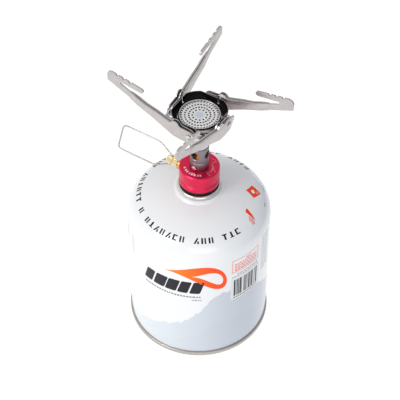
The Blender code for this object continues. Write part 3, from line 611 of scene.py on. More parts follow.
def from_curve(name, curve, look):
    drawn = bpy.data.objects.new(name + "_line", curve)
    bpy.context.scene.collection.objects.link(drawn)
    bpy.context.view_layer.update()
    evaluated = drawn.evaluated_get(bpy.context.evaluated_depsgraph_get())
    mesh = bpy.data.meshes.new_from_object(evaluated)
    bpy.data.objects.remove(drawn)
    outward(mesh)
    return as_object(name, mesh, look)


def box(name, lowest, highest, look):
    shape = bmesh.new()
    bmesh.ops.create_cube(shape, size=1.0)
    size = Vector(highest) - Vector(lowest)
    bmesh.ops.scale(shape, vec=size, verts=shape.verts)
    bmesh.ops.translate(shape, vec=(Vector(highest) + Vector(lowest)) / 2, verts=shape.verts)
    mesh = bpy.data.meshes.new(name)
    shape.to_mesh(mesh)
    shape.free()
    return as_object(name, mesh, look)


def rod(name, radius, start, end, sides, look):
    return turned(name, [(0, end), (radius, end), (radius, start), (0, start)], sides, look)


def baked(obj):
    bpy.context.view_layer.update()
    evaluated = obj.evaluated_get(bpy.context.evaluated_depsgraph_get())
    mesh = bpy.data.meshes.new_from_object(evaluated)
    obj.modifiers.clear()
    obj.data = mesh
    mesh.name = obj.name
    return obj


def moved(obj, matrix):
    obj.data.transform(matrix)
    return obj


def combine(obj, tool, operation="DIFFERENCE"):
    boolean = obj.modifiers.new("combine", "BOOLEAN")
    boolean.operation = operation
    boolean.solver = "EXACT"
    boolean.material_mode = "TRANSFER" if operation == "UNION" else "INDEX"
    boolean.object = tool
    baked(obj)
    bpy.data.objects.remove(tool)
    return obj


def softened(obj, width, segments=2, angle=35.0):
    bevel = obj.modifiers.new("soften", "BEVEL")
    bevel.width = width
    bevel.segments = segments
    bevel.limit_method = "ANGLE"
    bevel.angle_limit = math.radians(angle)
    return baked(obj)


def joined(name, objects, look):
    """Several objects as one, keeping each one's faces."""
    shape = bmesh.new()
    for obj in objects:
        shape.from_mesh(obj.data)
    mesh = bpy.data.meshes.new(name)
    shape.to_mesh(mesh)
    shape.free()
    for obj in objects:
        bpy.data.objects.remove(obj)
    return as_object(name, mesh, look)


def copies_tree():
    """Copies of a shape in a ring round the axis: the node tree used for all that repeats."""
    tree = bpy.data.node_groups.new("ring_of_copies", "GeometryNodeTree")
    face = tree.interface
    face.new_socket("Shape", in_out="INPUT", socket_type="NodeSocketGeometry")
    for name, kind in (("Count", "Int"), ("Radius", "Float"), ("Height", "Float"),
                       ("First angle", "Float"), ("Look", "Material")):
        face.new_socket(name, in_out="INPUT", socket_type="NodeSocket" + kind)
    face.new_socket("Ring", in_out="OUTPUT", socket_type="NodeSocketGeometry")

    def node(kind, **settings):
        made = tree.nodes.new(kind)
        for name, value in settings.items():
            setattr(made, name, value)
        return made

    entry = node("NodeGroupInput")
    end = node("NodeGroupOutput")
    circle = node("GeometryNodeMeshCircle")
    index = node("GeometryNodeInputIndex")
    turn = node("ShaderNodeMath", operation="DIVIDE")
    angle = node("ShaderNodeMath", operation="MULTIPLY")
    angle.inputs[1].default_value = math.tau
    spin = node("ShaderNodeCombineXYZ")
    copy = node("GeometryNodeInstanceOnPoints")
    lift = node("GeometryNodeTransform")
    shift = node("ShaderNodeCombineXYZ")
    start = node("ShaderNodeCombineXYZ")
    real = node("GeometryNodeRealizeInstances")
    paint = node("GeometryNodeSetMaterial")
    for source, target in (
            (entry.outputs["Count"], circle.inputs["Vertices"]),
            (entry.outputs["Radius"], circle.inputs["Radius"]),
            (index.outputs[0], turn.inputs[0]), (entry.outputs["Count"], turn.inputs[1]),
            (turn.outputs[0], angle.inputs[0]), (angle.outputs[0], spin.inputs["Z"]),
            (circle.outputs[0], copy.inputs["Points"]), (entry.outputs["Shape"], copy.inputs["Instance"]),
            (spin.outputs[0], copy.inputs["Rotation"]), (entry.outputs["Height"], shift.inputs["Z"]),
            (entry.outputs["First angle"], start.inputs["Z"]),
            (copy.outputs[0], lift.inputs["Geometry"]), (shift.outputs[0], lift.inputs["Translation"]),
            (start.outputs[0], lift.inputs["Rotation"]), (lift.outputs[0], real.inputs[0]),
            (real.outputs[0], paint.inputs["Geometry"]), (entry.outputs["Look"], paint.inputs["Material"]),
            (paint.outputs[0], end.inputs[0])):
        tree.links.new(source, target)
    return tree


COPIES = copies_tree()


def ring_of(shape, look, count, radius=0.0, height=0.0, first=0.0):
    """Count copies of a shape round the axis, the first one turned by an angle in degrees."""
    repeat = shape.modifiers.new("ring", "NODES")
    repeat.node_group = COPIES
    values = {"Count": count, "Radius": float(radius), "Height": float(height),
              "First angle": math.radians(first), "Look": look.material}
    for item in COPIES.interface.items_tree:
        if item.in_out == "INPUT" and item.name in values:
            repeat[item.identifier] = values[item.name]
    return baked(shape)


def finished(obj, node=None, body=None, place=None, sharp=32.0):
    """Stores the local place, sets the piece in the stove's frame and ties it to its body."""
    mesh = obj.data
    outward(mesh)
    count = len(mesh.vertices)
    flat = np.zeros(count * 3, np.float32)
    mesh.vertices.foreach_get("co", flat)
    local = mesh.attributes.new("local", "FLOAT_VECTOR", "POINT")
    local.data.foreach_set("vector", flat)
    mesh.transform(Matrix.Scale(0.001, 4) @ (place or Matrix.Identity(4)))
    mesh.shade_smooth()
    mesh.set_sharp_from_angle(angle=math.radians(sharp))
    mesh.update()
    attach(obj, body or BODY_OF[node])
    if node:
        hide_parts(node)


# ------------------------------------------------------------ frames, in millimetres

def turn_z(degrees):
    return Matrix.Rotation(math.radians(degrees), 4, "Z")


def valve_place():
    """Local X is the handle's width, local Z points out along the spindle."""
    out = Vector((math.cos(math.radians(VALVE_AZIMUTH)), math.sin(math.radians(VALVE_AZIMUTH)), 0))
    side = Vector((-out.y, out.x, 0))
    tilt = math.radians(VALVE_TILT)
    width = Vector((0, 0, 1)) * math.cos(tilt) - side * math.sin(tilt)
    made = Matrix((width, out.cross(width), out)).transposed().to_4x4()
    made.translation = Vector((0, 0, VALVE_Z))
    return made


def arm_place(index):
    """Local X runs out along the arm, local Y up and local Z towards the burner's axis."""
    pivot = Matrix.Translation(Vector((-PIVOT_BACK, ARM_MIDDLE, PIVOT_Z)))
    return turn_z(ARM_AZIMUTH + 90.0 * index) @ pivot @ Matrix.Rotation(math.pi / 2, 4, "X")


def tube_screw_place():
    angle = math.radians(TUBE_SCREW_AZIMUTH)
    out = Vector((math.cos(angle), math.sin(angle), 0))
    made = out.to_track_quat("Z", "Y").to_matrix().to_4x4()
    made.translation = Vector((0, 0, COLLAR_TOP + 3.0))
    return made


# ------------------------------------------------------------ canister

MEET = math.degrees(math.acos(KNUCKLE_COSINE))
KNUCKLE_RUN = math.radians(MEET) * KNUCKLE


def meridian(run):
    """The shell's radius and height at a length run up its side from the standing plane.

    Also gives the outward direction there, as (radius, height).
    """
    if run <= WALL_TOP:
        return CAN_RADIUS, run, 1.0, 0.0
    if run <= WALL_TOP + KNUCKLE_RUN:
        angle = (run - WALL_TOP) / KNUCKLE
        c, s = math.cos(angle), math.sin(angle)
        return CAN_RADIUS - KNUCKLE + KNUCKLE * c, WALL_TOP + KNUCKLE * s, c, s
    angle = math.radians(MEET) + (run - WALL_TOP - KNUCKLE_RUN) / CROWN
    c, s = math.cos(angle), math.sin(angle)
    return CROWN * c, CROWN_CENTRE + CROWN * s, c, s


def run_at(radius):
    """The length run up the side to a radius on the crown or the knuckle."""
    if radius < CROWN * KNUCKLE_COSINE:
        return WALL_TOP + KNUCKLE_RUN + (math.acos(radius / CROWN) - math.radians(MEET)) * CROWN
    return WALL_TOP + math.acos((radius - CAN_RADIUS + KNUCKLE) / KNUCKLE) * KNUCKLE


def on_shell(u, v, lift):
    """A point on the shell: u is the azimuth in degrees, v the run up its side."""
    radius, height, across, up = meridian(v)
    angle = math.radians(u)
    radius += across * lift
    return radius * math.cos(angle), radius * math.sin(angle), height + up * lift


def on_collar(u, v, lift):
    return u, v, COLLAR_TOP + lift


def make_shell():
    outer = [(MOUTH, SHELL_TOP), (BEAD_RADIUS + 0.3, SHELL_TOP), (BEAD_RADIUS + 1.2, SHELL_TOP - 0.35)]
    start = run_at(BEAD_RADIUS + 2.4)
    for i in range(13):
        run = start + (WALL_TOP + KNUCKLE_RUN - start) * i / 12
        outer.append(meridian(run)[:2])
    for i in range(1, 15):
        outer.append(meridian(WALL_TOP + KNUCKLE_RUN * (1 - i / 14))[:2])
    for i in range(1, 7):
        outer.append((CAN_RADIUS, WALL_TOP + (SEAM_TOP + 3.0 - WALL_TOP) * i / 6))
    outer += [(CAN_RADIUS - 0.15, SEAM_TOP + 1.1), (CAN_RADIUS - 0.55, SEAM_TOP + 0.3)]
    wall = 0.6
    inner = [(CAN_RADIUS - wall - 0.5, SEAM_TOP + 0.3), (CAN_RADIUS - wall, SEAM_TOP + 2.0)]
    inner += [(CAN_RADIUS - wall, WALL_TOP)]
    for i in range(1, 9):
        radius, height, across, up = meridian(WALL_TOP + KNUCKLE_RUN * i / 8)
        inner.append((radius - across * wall, height - up * wall))
    inner += [(BEAD_RADIUS, SHELL_TOP - wall - 0.5), (MOUTH, SHELL_TOP - wall)]
    shell = turned("can_shell_skin", outer + inner, FINE, PAINT, closed=True)
    finished(shell, "can_shell")


def make_base():
    inside = CAN_RADIUS - 0.9
    step = inside - 2.3
    radius = SEAM_RADIUS
    profile = [
        (0, BASE_RISE), (step * 0.3, BASE_RISE - 0.35), (step * 0.5, BASE_RISE - 1.0),
        (step * 0.68, BASE_RISE - 2.2), (step * 0.82, BASE_RISE - 4.0),
        (step, SEAM_TOP + 1.4), (inside, SEAM_TOP + 1.4), (inside, SEAM_TOP + 0.2)]
    roll = rounded([(radius - 1.2, SEAM_TOP + 0.2), (radius, SEAM_TOP - 0.2), (radius, 0.0),
                    (radius - 2.0, 0.0), (radius - 2.4, 0.6)], 0.9, steps=5)
    profile += roll + [(radius - 3.6, SEAM_TOP), (step - 0.2, SEAM_TOP + 0.8)]
    profile += [(step * 0.82, BASE_RISE - 4.6), (step * 0.5, BASE_RISE - 1.6), (0, BASE_RISE - 0.6)]
    seam = turned("can_base_seam", profile, FINE, SEAM)
    finished(seam, "can_base")


def thread(name, crest, root, start, end, pitch, look, sides=48):
    """A helical ridge round the axis, faded out at both ends."""
    turns = (end - start) / pitch
    steps = int(turns * sides)
    points = []
    for i in range(steps + 1):
        share = min(1.0, i / (sides * 0.4), (steps - i) / (sides * 0.4))
        angle = math.tau * i / sides
        height = start + (end - start) * i / steps
        top = root + (crest - root) * share
        for radius, up in ((root - 0.2, -0.42), (top, -0.08), (top, 0.08), (root - 0.2, 0.42)):
            points.append((radius * math.cos(angle), radius * math.sin(angle), height + up * pitch))
    faces = []
    for i in range(steps):
        for k in range(4):
            a = i * 4 + k
            b = i * 4 + (k + 1) % 4
            faces.append((a, b, b + 4, a + 4))
    faces.append((3, 2, 1, 0))
    last = steps * 4
    faces.append((last, last + 1, last + 2, last + 3))
    return from_lists(name, points, faces, look)


def make_valve_cup():
    middle = BEAD_RADIUS - BEAD_SECTION
    skirt = MOUTH - 0.3
    floor = HOUSING_TOP + 0.3
    bead = arc((middle, BEAD_Z + 0.1), BEAD_SECTION, 150, -60, 18)
    core = BOSS_RADIUS - 0.45
    rest = rounded([
        (skirt, BEAD_Z - BEAD_SECTION + 0.3), (skirt, floor), (BOSS_BORE, floor),
        (BOSS_BORE, BOSS_TOP - 0.5), (BOSS_BORE - 0.9, BOSS_TOP - 0.5), (BOSS_BORE - 0.9, BOSS_TOP),
        (core - 0.3, BOSS_TOP), (core, BOSS_TOP - 0.5), (core, floor + 0.7),
        (skirt - 0.7, floor + 0.7), (skirt - 0.7, BEAD_Z)], 0.45, steps=3)
    cup = turned("cup", bead + rest, FINE, CRIMP, closed=True)
    ridge = thread("ridge", BOSS_RADIUS, core, floor + 2.2, BOSS_TOP - 0.9, THREAD_PITCH, CRIMP)
    tick = tapered_bar("tick", 0.17, 0.5)
    moved(tick, Matrix.Rotation(math.radians(24), 4, "X"))
    ticks = ring_of(tick, CRIMP, 84, middle + BEAD_SECTION - 0.04, BEAD_Z - 0.25)
    whole = joined("can_valve_cup_skin", [cup, ridge, ticks], CRIMP)
    finished(whole, "can_valve_cup")


def tapered_bar(name, half, height):
    """A small ridge standing out along X, long in Z, with its ends drawn in."""
    points = []
    for z, share in ((-height * 1.5, 0.35), (-height, 1.0), (height, 1.0), (height * 1.5, 0.35)):
        for y, x in ((-half, -0.1), (-half * 0.5, 0.11), (half * 0.5, 0.11), (half, -0.1)):
            points.append((x * share, y * share, z))
    faces = [(3, 2, 1, 0), (12, 13, 14, 15)]
    for i in range(3):
        for k in range(4):
            a = i * 4 + k
            b = i * 4 + (k + 1) % 4
            faces.append((a, b, b + 4, a + 4))
    return from_lists(name, points, faces, CRIMP)


def make_canister_valve():
    bore = 2.7
    housing = rounded([
        (bore + 2.2, HOUSING_TOP), (bore + 2.2, HOUSING_LOW + 1.5), (bore + 0.9, HOUSING_LOW),
        (0.8, HOUSING_LOW), (0.8, HOUSING_LOW + 1.0), (bore, HOUSING_LOW + 1.0),
        (bore, HOUSING_TOP)], 0.3, True)
    finished(turned("can_valve_housing_skin", housing, SMALL, NYLON, True),
             "can_valve_housing")
    poppet = rounded([(0, POPPET_TOP), (2.0, POPPET_TOP), (2.0, POPPET_LOW), (0, POPPET_LOW)], 0.35)
    finished(turned("can_valve_poppet_skin", poppet, SMALL, BRASS), "can_valve_poppet")
    top = high("can_valve_seal")
    seal = rounded([(3.0, top), (3.0, top - 1.5), (1.2, top - 1.5), (1.2, top)], 0.3, True)
    finished(turned("can_valve_seal_skin", seal, SMALL, RUBBER, True), "can_valve_seal")
    start = low("can_valve_spring") + 0.35
    end = high("can_valve_spring") - 0.35
    coil = []
    for i in range(181):
        angle = math.tau * 5 * i / 180
        share = min(1.0, max(0.0, (i / 180 - 0.08) / 0.84))
        coil.append((1.9 * math.cos(angle), 1.9 * math.sin(angle), start + (end - start) * share))
    finished(round_wire("can_valve_spring_skin", coil, 0.35, SPRING, 3),
             "can_valve_spring")


# ------------------------------------------------------------ prints

INK = 0.05
INK_ON_INK = 0.08
BARS_ON_LABEL = 0.09
# Longest stretch of a print round the shell in degrees, and up it in millimetres
DOME_PITCH = (1.5, 1.5)
FLAT_PITCH = (1.5, 4.0)
LABEL_PITCH = (1.5, 6.0)
DEGREES_A_MM = 180 / math.pi / CAN_RADIUS

CROWN_MARK_RADIUS = 45.4
CROWN_MARK_STEP = 6.75
CROWN_MARK_SIZE = (4.7, 4.3)
CROWN_MARK_COUNT = 41
CROWN_MARK_GAPS = (3, 7, 15, 17, 24, 30, 31, 36)
CROWN_MARK_START = -52.0
BLOCKS = ((-132.8, 7.6), (-122.2, 9.6), (-111.6, 9.0), (-101.6, 8.0), (-91.6, 8.2))
BLOCK_HALF = 6.6
BLOCK_MIDDLE = 83.4
BLOCK_LEAN = 0.28
SIGN = (1.5, 40.3)
SIGN_HALF = 6.2
WEDGE = (-29.5, 44.0)
NOTES_RADIUS = 49.5


def ink_shapes(name, shapes, surface, look, pitch, lift, body="canister"):
    """Thin printed shapes laid on a surface, each an outline in that surface's own coordinates."""
    points = []
    faces = []
    for outline in shapes:
        shape = bmesh.new()
        corners = [shape.verts.new((u, v, 0.0)) for u, v in outline]
        shape.faces.new(corners)
        for axis, size in enumerate(pitch):
            values = [p[axis] for p in outline]
            normal = Vector((1, 0, 0)) if axis == 0 else Vector((0, 1, 0))
            cuts = int((max(values) - min(values)) / size)
            for k in range(1, cuts + 1):
                at = normal * (min(values) + size * k)
                bmesh.ops.bisect_plane(
                    shape, geom=shape.verts[:] + shape.edges[:] + shape.faces[:], dist=1e-6,
                    plane_co=at, plane_no=normal)
        bmesh.ops.triangulate(shape, faces=[f for f in shape.faces if len(f.verts) > 4])
        shape.verts.index_update()
        start = len(points)
        count = len(shape.verts)
        points += [surface(v.co.x, v.co.y, lift) for v in shape.verts]
        points += [surface(v.co.x, v.co.y, 0.0) for v in shape.verts]
        for face in shape.faces:
            ids = [v.index + start for v in face.verts]
            faces.append(ids)
            faces.append([i + count for i in reversed(ids)])
        for edge in shape.edges:
            if len(edge.link_faces) == 1:
                loop = edge.link_loops[0]
                a = loop.vert.index + start
                b = loop.link_loop_next.vert.index + start
                faces.append((b, a, a + count, b + count))
        shape.free()
    mesh = bpy.data.meshes.new(name)
    mesh.from_pydata(points, [], faces)
    finished(as_object(name, mesh, look), body=body, sharp=60.0)


def print_on_can(name, shapes, look, pitch=FLAT_PITCH, lift=INK):
    ink_shapes(name, shapes, on_shell, look, pitch, lift)


def shifted(outline, u, v, wide, tall):
    return [(u + x * wide, v + y * tall) for x, y in outline]


def slab(x0, y0, x1, y1):
    return [(x0, y0), (x1, y0), (x1, y1), (x0, y1)]


MARKS = (
    (slab(-0.38, -0.5, -0.1, 0.5), slab(0.12, -0.5, 0.36, 0.5)),
    (slab(-0.15, -0.36, 0.17, 0.5), slab(-0.36, -0.5, 0.38, -0.36)),
    (slab(-0.38, -0.5, -0.1, 0.5), slab(-0.1, 0.28, 0.36, 0.5), slab(-0.1, -0.5, 0.36, -0.3)),
    (slab(-0.4, 0.28, 0.4, 0.5), slab(-0.15, -0.5, 0.15, 0.28)),
    ([(-0.42, -0.5), (-0.14, -0.5), (0.34, 0.5), (0.06, 0.5)], slab(0.14, -0.5, 0.4, -0.05)),
)


def make_prints():
    chance = random.Random(7)

    # a ring of plain marks round the crown
    ring = []
    run = run_at(CROWN_MARK_RADIUS)
    degree = 180 / math.pi / CROWN_MARK_RADIUS
    wide, tall = CROWN_MARK_SIZE
    for i in range(CROWN_MARK_COUNT):
        if i in CROWN_MARK_GAPS:
            continue
        azimuth = CROWN_MARK_START - CROWN_MARK_STEP * i
        for part in chance.choice(MARKS):
            ring.append(shifted(part, azimuth, run, wide * degree, tall))
    print_on_can("crown_marks", ring, DARK_INK, DOME_PITCH)

    # five slanted blocks on the front
    blocks = []
    around = DEGREES_A_MM
    for azimuth, wide in BLOCKS:
        half = wide / 2
        outline = rounded(slab(-half, -BLOCK_HALF, half, BLOCK_HALF), 1.2, True, 2)
        blocks.append([(azimuth + (x + y * BLOCK_LEAN) * around, BLOCK_MIDDLE + y)
                       for x, y in outline])
    print_on_can("front_blocks", blocks, DARK_INK)

    # a drop lying on its side, with a pale drop inside it
    drop = drop_outline(-120.0, 98.0, -84.0, 88.0, 21.0, 6.0)
    print_on_can("flame_drop", [drop], ORANGE_INK)
    inner = drop_outline(-97.0, 96.5, -79.3, 89.6, 11.0, 3.0)
    print_on_can("flame_drop_inside", [inner], WHITE_INK, lift=INK_ON_INK)

    # rows of small dashes
    def row(start, end, v, tall, wide=(0.9, 2.2), gap=0.7):
        made = []
        u = start
        while u < end:
            step = chance.uniform(*wide) * around
            made.append(slab(u, v - tall / 2, min(u + step, end), v + tall / 2))
            u += step + gap * around
        return made

    grey = row(-137.5, -88.0, 72.6, 1.7) + row(-95.5, -88.0, 68.9, 1.2)
    print_on_can("front_dashes", grey, GREY_INK)
    frame_lines = [slab(-62.8, 107.0, -35.6, 107.4), slab(-62.8, 93.6, -35.6, 94.0),
                   slab(-62.8, 93.6, -62.4, 107.4), slab(-36.0, 93.6, -35.6, 107.4)]
    text = row(-50.0, -44.5, 104.6, 0.8)
    for v in (102.2, 99.9, 97.6, 95.6):
        text += row(-60.5, -38.0, v, 1.05, (1.0, 2.4), 0.8)
    print_on_can("caution_frame", frame_lines + text, RED_INK)
    print_on_can("code_label", [slab(-63.6, 61.8, -34.0, 86.2)], LABEL_INK, LABEL_PITCH)
    bars = []
    u = -61.0
    while u < -36.4:
        wide = chance.choice((0.35, 0.55, 0.8, 1.3)) * around
        if chance.random() > 0.12:
            bars.append(slab(u, 66.0, u + wide, 84.6))
        u += wide + chance.choice((0.35, 0.5, 0.8)) * around
    bars += row(-61.0, -36.6, 63.9, 1.1, (0.8, 1.4))
    print_on_can("code_bars", bars, DARK_INK, LABEL_PITCH, BARS_ON_LABEL)
    notes = row(-62.6, -35.8, 88.2, 0.9) + row(-58.0, -36.0, 90.6, 0.9)
    print_on_can("label_notes", notes, GREY_INK)

    # faint upright rows at the side
    upright = []
    for azimuths, foot, head, wide in (
            ((-29.5, -27.0, -24.5, -22.0, -19.5), 71.0, 110.0, 1.0),
            ((-176.0, -173.0, -170.0, -158.0, -155.0), 88.0, 106.0, 0.9)):
        for azimuth in azimuths:
            v = foot + chance.uniform(0, 2)
            while v < head:
                step = chance.uniform(1.2, 3.2)
                upright.append(slab(azimuth, v, azimuth + wide, v + step))
                v += step + 0.9
    print_on_can("side_notes", upright, FAINT_INK)

    # two warning signs on the shoulder
    half = SIGN_HALF
    sign = on_patch([(-half, 0), (0, -half), (half, 0), (0, half)], *SIGN, 4.0)
    print_on_can("shoulder_sign", [sign], RED_INK, DOME_PITCH)
    flame = [(-2.4, -0.4), (-1.4, -1.9), (0.2, -2.3), (1.5, -1.2), (1.4, 0.4), (0.3, 1.0), (0.5, 2.6),
             (-1.1, 1.7), (-2.2, 0.8)]
    flame = [(x * 0.85, y * 0.85) for x, y in flame]
    dots = [on_patch(rounded(flame, 0.5, True, 2), *SIGN)]
    for x, y in ((2.7, -0.9), (2.9, 0.7), (3.8, 0.0)):
        dots.append(on_patch(slab(x - 0.35, y - 0.35, x + 0.35, y + 0.35), *SIGN))
    print_on_can("shoulder_sign_flame", dots, WHITE_INK, DOME_PITCH, INK_ON_INK)
    wedge = rounded([(-6.5, 3.4), (7.0, -0.8), (-5.4, -0.4)], 0.8, True, 3)
    lines = [on_patch(wedge, *WEDGE)]
    for y, start in ((-2.0, -1.2), (-3.1, -0.4), (-4.2, 0.6)):
        for x in np.arange(start, 5.2, 1.3):
            lines.append(on_patch(slab(x, y, x + 0.95, y + 0.7), *WEDGE))
    print_on_can("shoulder_wedge", lines, RED_INK, DOME_PITCH)
    v = run_at(NOTES_RADIUS)
    small = [slab(u, v, u + 1.5, v + 1.0) for u in (-9.5, -7.0, 8.0, 10.5, 13.0)]
    print_on_can("shoulder_notes", small, GREY_INK, DOME_PITCH)


def on_patch(outline, azimuth, radius, turn=0.0):
    """An outline in millimetres, x down the shell and y to the left round it, on the crown."""
    run = run_at(radius)
    spin = math.radians(turn)
    made = []
    for x, y in outline:
        a = x * math.cos(spin) - y * math.sin(spin)
        b = x * math.sin(spin) + y * math.cos(spin)
        v = run - a
        here = meridian(v)[0]
        made.append((azimuth + math.degrees(b / here), v))
    return made


def drop_outline(tip_u, tip_v, u, v, radius, lift):
    """A drop from its tip to its round end, with its width in the shell's own measure."""
    around = DEGREES_A_MM
    length = (u - tip_u) / around
    rise = v - tip_v
    made = []
    steps = 36
    for i in range(steps):
        t = math.tau * i / steps
        along = (1 - math.cos(t)) / 2
        width = math.sin(t) * math.sin(t / 2) ** 3 * radius
        bend = math.sin(along * math.pi) * lift
        x = along * (length + radius * 0.75)
        y = along * rise + width + bend
        made.append((tip_u + x * around, tip_v + y))
    return made


# ------------------------------------------------------------ stove body

def make_collar():
    bottom, top, radius = COLLAR_LOW, COLLAR_TOP, COLLAR_RADIUS
    bore = 9.2
    web = 6.6
    ceiling = top - 2.0
    side = [(radius - 0.8, top), (radius, top - 0.8)]
    for up in (5.6, 3.8):
        groove = bottom + up
        side += [(radius, groove + 0.45), (radius - 0.4, groove + 0.15),
                 (radius - 0.4, groove - 0.15), (radius, groove - 0.45)]
    side += [(radius, bottom + 0.4), (radius - 0.4, bottom)]
    inner = [(bore, bottom), (bore, ceiling), (web, ceiling), (web, top)]
    profile = rounded(side + inner, 0.5, True, 4)
    collar = turned("base_collar_skin", profile, FINE, CRIMSON, closed=True)
    hole = moved(rod("hole", 4.1, 4.6, COLLAR_RADIUS + 3, 48, CRIMSON), valve_place())
    finished(combine(collar, hole), "base_collar")

    chance = random.Random(11)
    marks = []
    angle = -168.0
    while angle < -82.0:
        wide = chance.choice((4.5, 6.0, 7.5))
        marks.append(sector(10.3, 11.9, angle, angle + wide))
        angle += wide + chance.choice((3.5, 3.5, 7.0))
    lines = []
    sweep = [(8.6, -6.4), (9.9, -4.6), (9.6, -2.0), (9.3, 0.6), (10.6, 2.6), (12.6, 2.2)]
    lines += ribbon(smooth_line(sweep), 0.16)
    lines += ribbon(smooth_line([(5.2, -7.4), (7.2, -7.6), (8.9, -5.8), (9.7, -3.0)]), 0.16)
    lines += ribbon(smooth_line([(10.5, -1.2), (10.6, -4.4), (11.4, -7.4)]), 0.14)
    lines += ribbon(smooth_line([(5.6, -8.2), (6.8, -10.2), (8.4, -11.2)]), 0.14)
    lines += ribbon(smooth_line([(8.6, 6.4), (10.6, 5.4), (12.2, 3.4)]), 0.14)
    ink_shapes("collar_marks", marks + lines, on_collar, SILVER_INK, (30, 30), 0.03, "stove")


def sector(inner, outer, start, end):
    far = [(outer * math.cos(math.radians(start + (end - start) * i / 6)),
            outer * math.sin(math.radians(start + (end - start) * i / 6))) for i in range(7)]
    near = [(inner * math.cos(math.radians(end - (end - start) * i / 6)),
             inner * math.sin(math.radians(end - (end - start) * i / 6))) for i in range(7)]
    return far + near


def smooth_line(points, steps=8):
    """A Catmull-Rom line through the points."""
    padded = [points[0], *points, points[-1]]
    made = []
    for i in range(1, len(padded) - 2):
        p0, p1, p2, p3 = (Vector(p) for p in padded[i - 1:i + 3])
        for k in range(steps):
            t = k / steps
            made.append(0.5 * (2 * p1 + (p2 - p0) * t + (2 * p0 - 5 * p1 + 4 * p2 - p3) * t * t
                               + (3 * p1 - p0 - 3 * p2 + p3) * t ** 3))
    made.append(Vector(points[-1]))
    return made


def ribbon(line, width):
    """Short flat pieces along a line."""
    made = []
    for a, b in zip(line, line[1:]):
        along = (b - a).normalized()
        across = Vector((-along.y, along.x)) * width / 2
        on = along * width * 0.1
        made.append([tuple(a - across - on), tuple(b - across + on), tuple(b + across + on),
                     tuple(a + across - on)])
    return made


def make_core():
    socket = 5.6
    ceiling = COLLAR_LOW + 5.2
    spigot = 5.7
    core_radius = 8.9
    shoulder = COLLAR_TOP - 2.3
    profile = [
        (spigot, SPIGOT_TOP), (spigot, COLLAR_TOP), (6.3, COLLAR_TOP), (6.3, shoulder),
        (core_radius, shoulder), (core_radius, CORE_LOW), (socket, CORE_LOW), (socket, ceiling),
        (1.2, ceiling), (1.2, ceiling + 0.4), (0.7, ceiling + 0.4), (0.7, SPIGOT_TOP - 3.0),
        (1.7, SPIGOT_TOP - 3.0), (1.7, SPIGOT_TOP)]
    core = turned("valve_core_skin", rounded(profile, 0.3, True), MEDIUM, BRASS, closed=True)
    way = moved(rod("way", 2.5, 6.4, 11.0, SMALL, BRASS), valve_place())
    combine(core, way)
    screw = moved(rod("way", 1.25, 3.4, 8.0, 24, BRASS), tube_screw_place())
    finished(combine(core, screw), "valve_core")

    top = high("inlet_pin")
    tip = low("inlet_pin")
    pin = [(0.9, top), (0.9, tip + 0.3), (0.7, tip), (0.35, tip), (0.35, top)]
    finished(turned("inlet_pin_skin", pin, SMALL, STEEL, True), "inlet_pin")
    height = (low("inlet_oring") + high("inlet_oring")) / 2
    ring = arc((3.25, height), 0.45, 0, -330, 11)
    finished(turned("inlet_oring_skin", ring, 64, RUBBER, True), "inlet_oring")
    sieve_top = high("gas_filter")
    sieve = rounded([(0, sieve_top), (0.5, sieve_top), (0.5, sieve_top - 1.4), (0, sieve_top - 1.4)],
                    0.1)
    finished(turned("gas_filter_skin", sieve, 24, BRONZE), "gas_filter")

    tip = high("gas_jet")
    seat = SPIGOT_TOP + 0.3
    jet = rounded([
        (0.9, tip), (1.3, tip - 0.7), (1.3, seat + 1.8), (2.0, seat + 1.8), (2.0, seat),
        (1.45, seat), (1.45, SPIGOT_TOP - 2.6), (0.6, SPIGOT_TOP - 2.6), (0.6, tip - 1.2),
        (0.25, tip - 0.6), (0.25, tip)], 0.12, True, 2)
    # The jet takes the brass with the painted glow.
    finished(turned("gas_jet_skin", jet, SMALL, GLOWING_JET_BRASS, True), "gas_jet")

    top = COLLAR_LOW - 0.3
    base = low("seal_ring")
    seal = rounded([(14.7, top), (14.7, base), (5.75, base), (5.75, top)], 0.5, True, 4)
    finished(turned("seal_ring_skin", seal, FINE, RUBBER, True), "seal_ring")


def make_tube():
    bottom = low("mixer_tube")
    bore = TUBE_RADIUS - 1.0
    groove = COLLAR_TOP + 7.4
    profile = rounded([
        (TUBE_RADIUS, TUBE_TOP), (TUBE_RADIUS, groove + 0.7), (TUBE_RADIUS - 0.35, groove + 0.25),
        (TUBE_RADIUS - 0.35, groove - 0.25), (TUBE_RADIUS, groove - 0.7), (TUBE_RADIUS, bottom),
        (bore, bottom), (bore, TUBE_TOP)], 0.25, True)
    tube = turned("mixer_tube_skin", profile, MEDIUM, GUNMETAL, closed=True)
    for quarter in range(4):
        flare = [(0, 12), (AIR_HOLE + 2.4, 12), (AIR_HOLE + 0.55, TUBE_RADIUS + 0.1),
                 (AIR_HOLE, TUBE_RADIUS - 0.45), (AIR_HOLE, 2.0), (0, 2.0)]
        hole = turned("hole", flare, 48, GUNMETAL)
        across = Matrix.Translation((0, 0, AIR_HOLE_Z)) @ turn_z(ARM_AZIMUTH + 1.5 + 90.0 * quarter)
        combine(tube, moved(hole, across @ Matrix.Rotation(math.pi / 2, 4, "Y")))
    way = moved(rod("way", 1.25, 4, TUBE_RADIUS + 3, 24, GUNMETAL), tube_screw_place())
    finished(combine(tube, way), "mixer_tube")

    seat = TUBE_RADIUS + 0.3
    head = rounded([(0, seat + 0.7), (1.85, seat + 0.7), (1.85, seat), (0.95, seat)], 0.3)
    screw = turned("tube_screw_skin", head + [(0.95, 4.0), (0, 4.0)], SMALL, STEEL)
    slot = moved(box("slot", (-3, -0.22, seat + 0.25), (3, 0.22, seat + 2), STEEL),
                 turn_z(28))
    combine(screw, slot)
    finished(screw, "tube_screw", place=tube_screw_place())


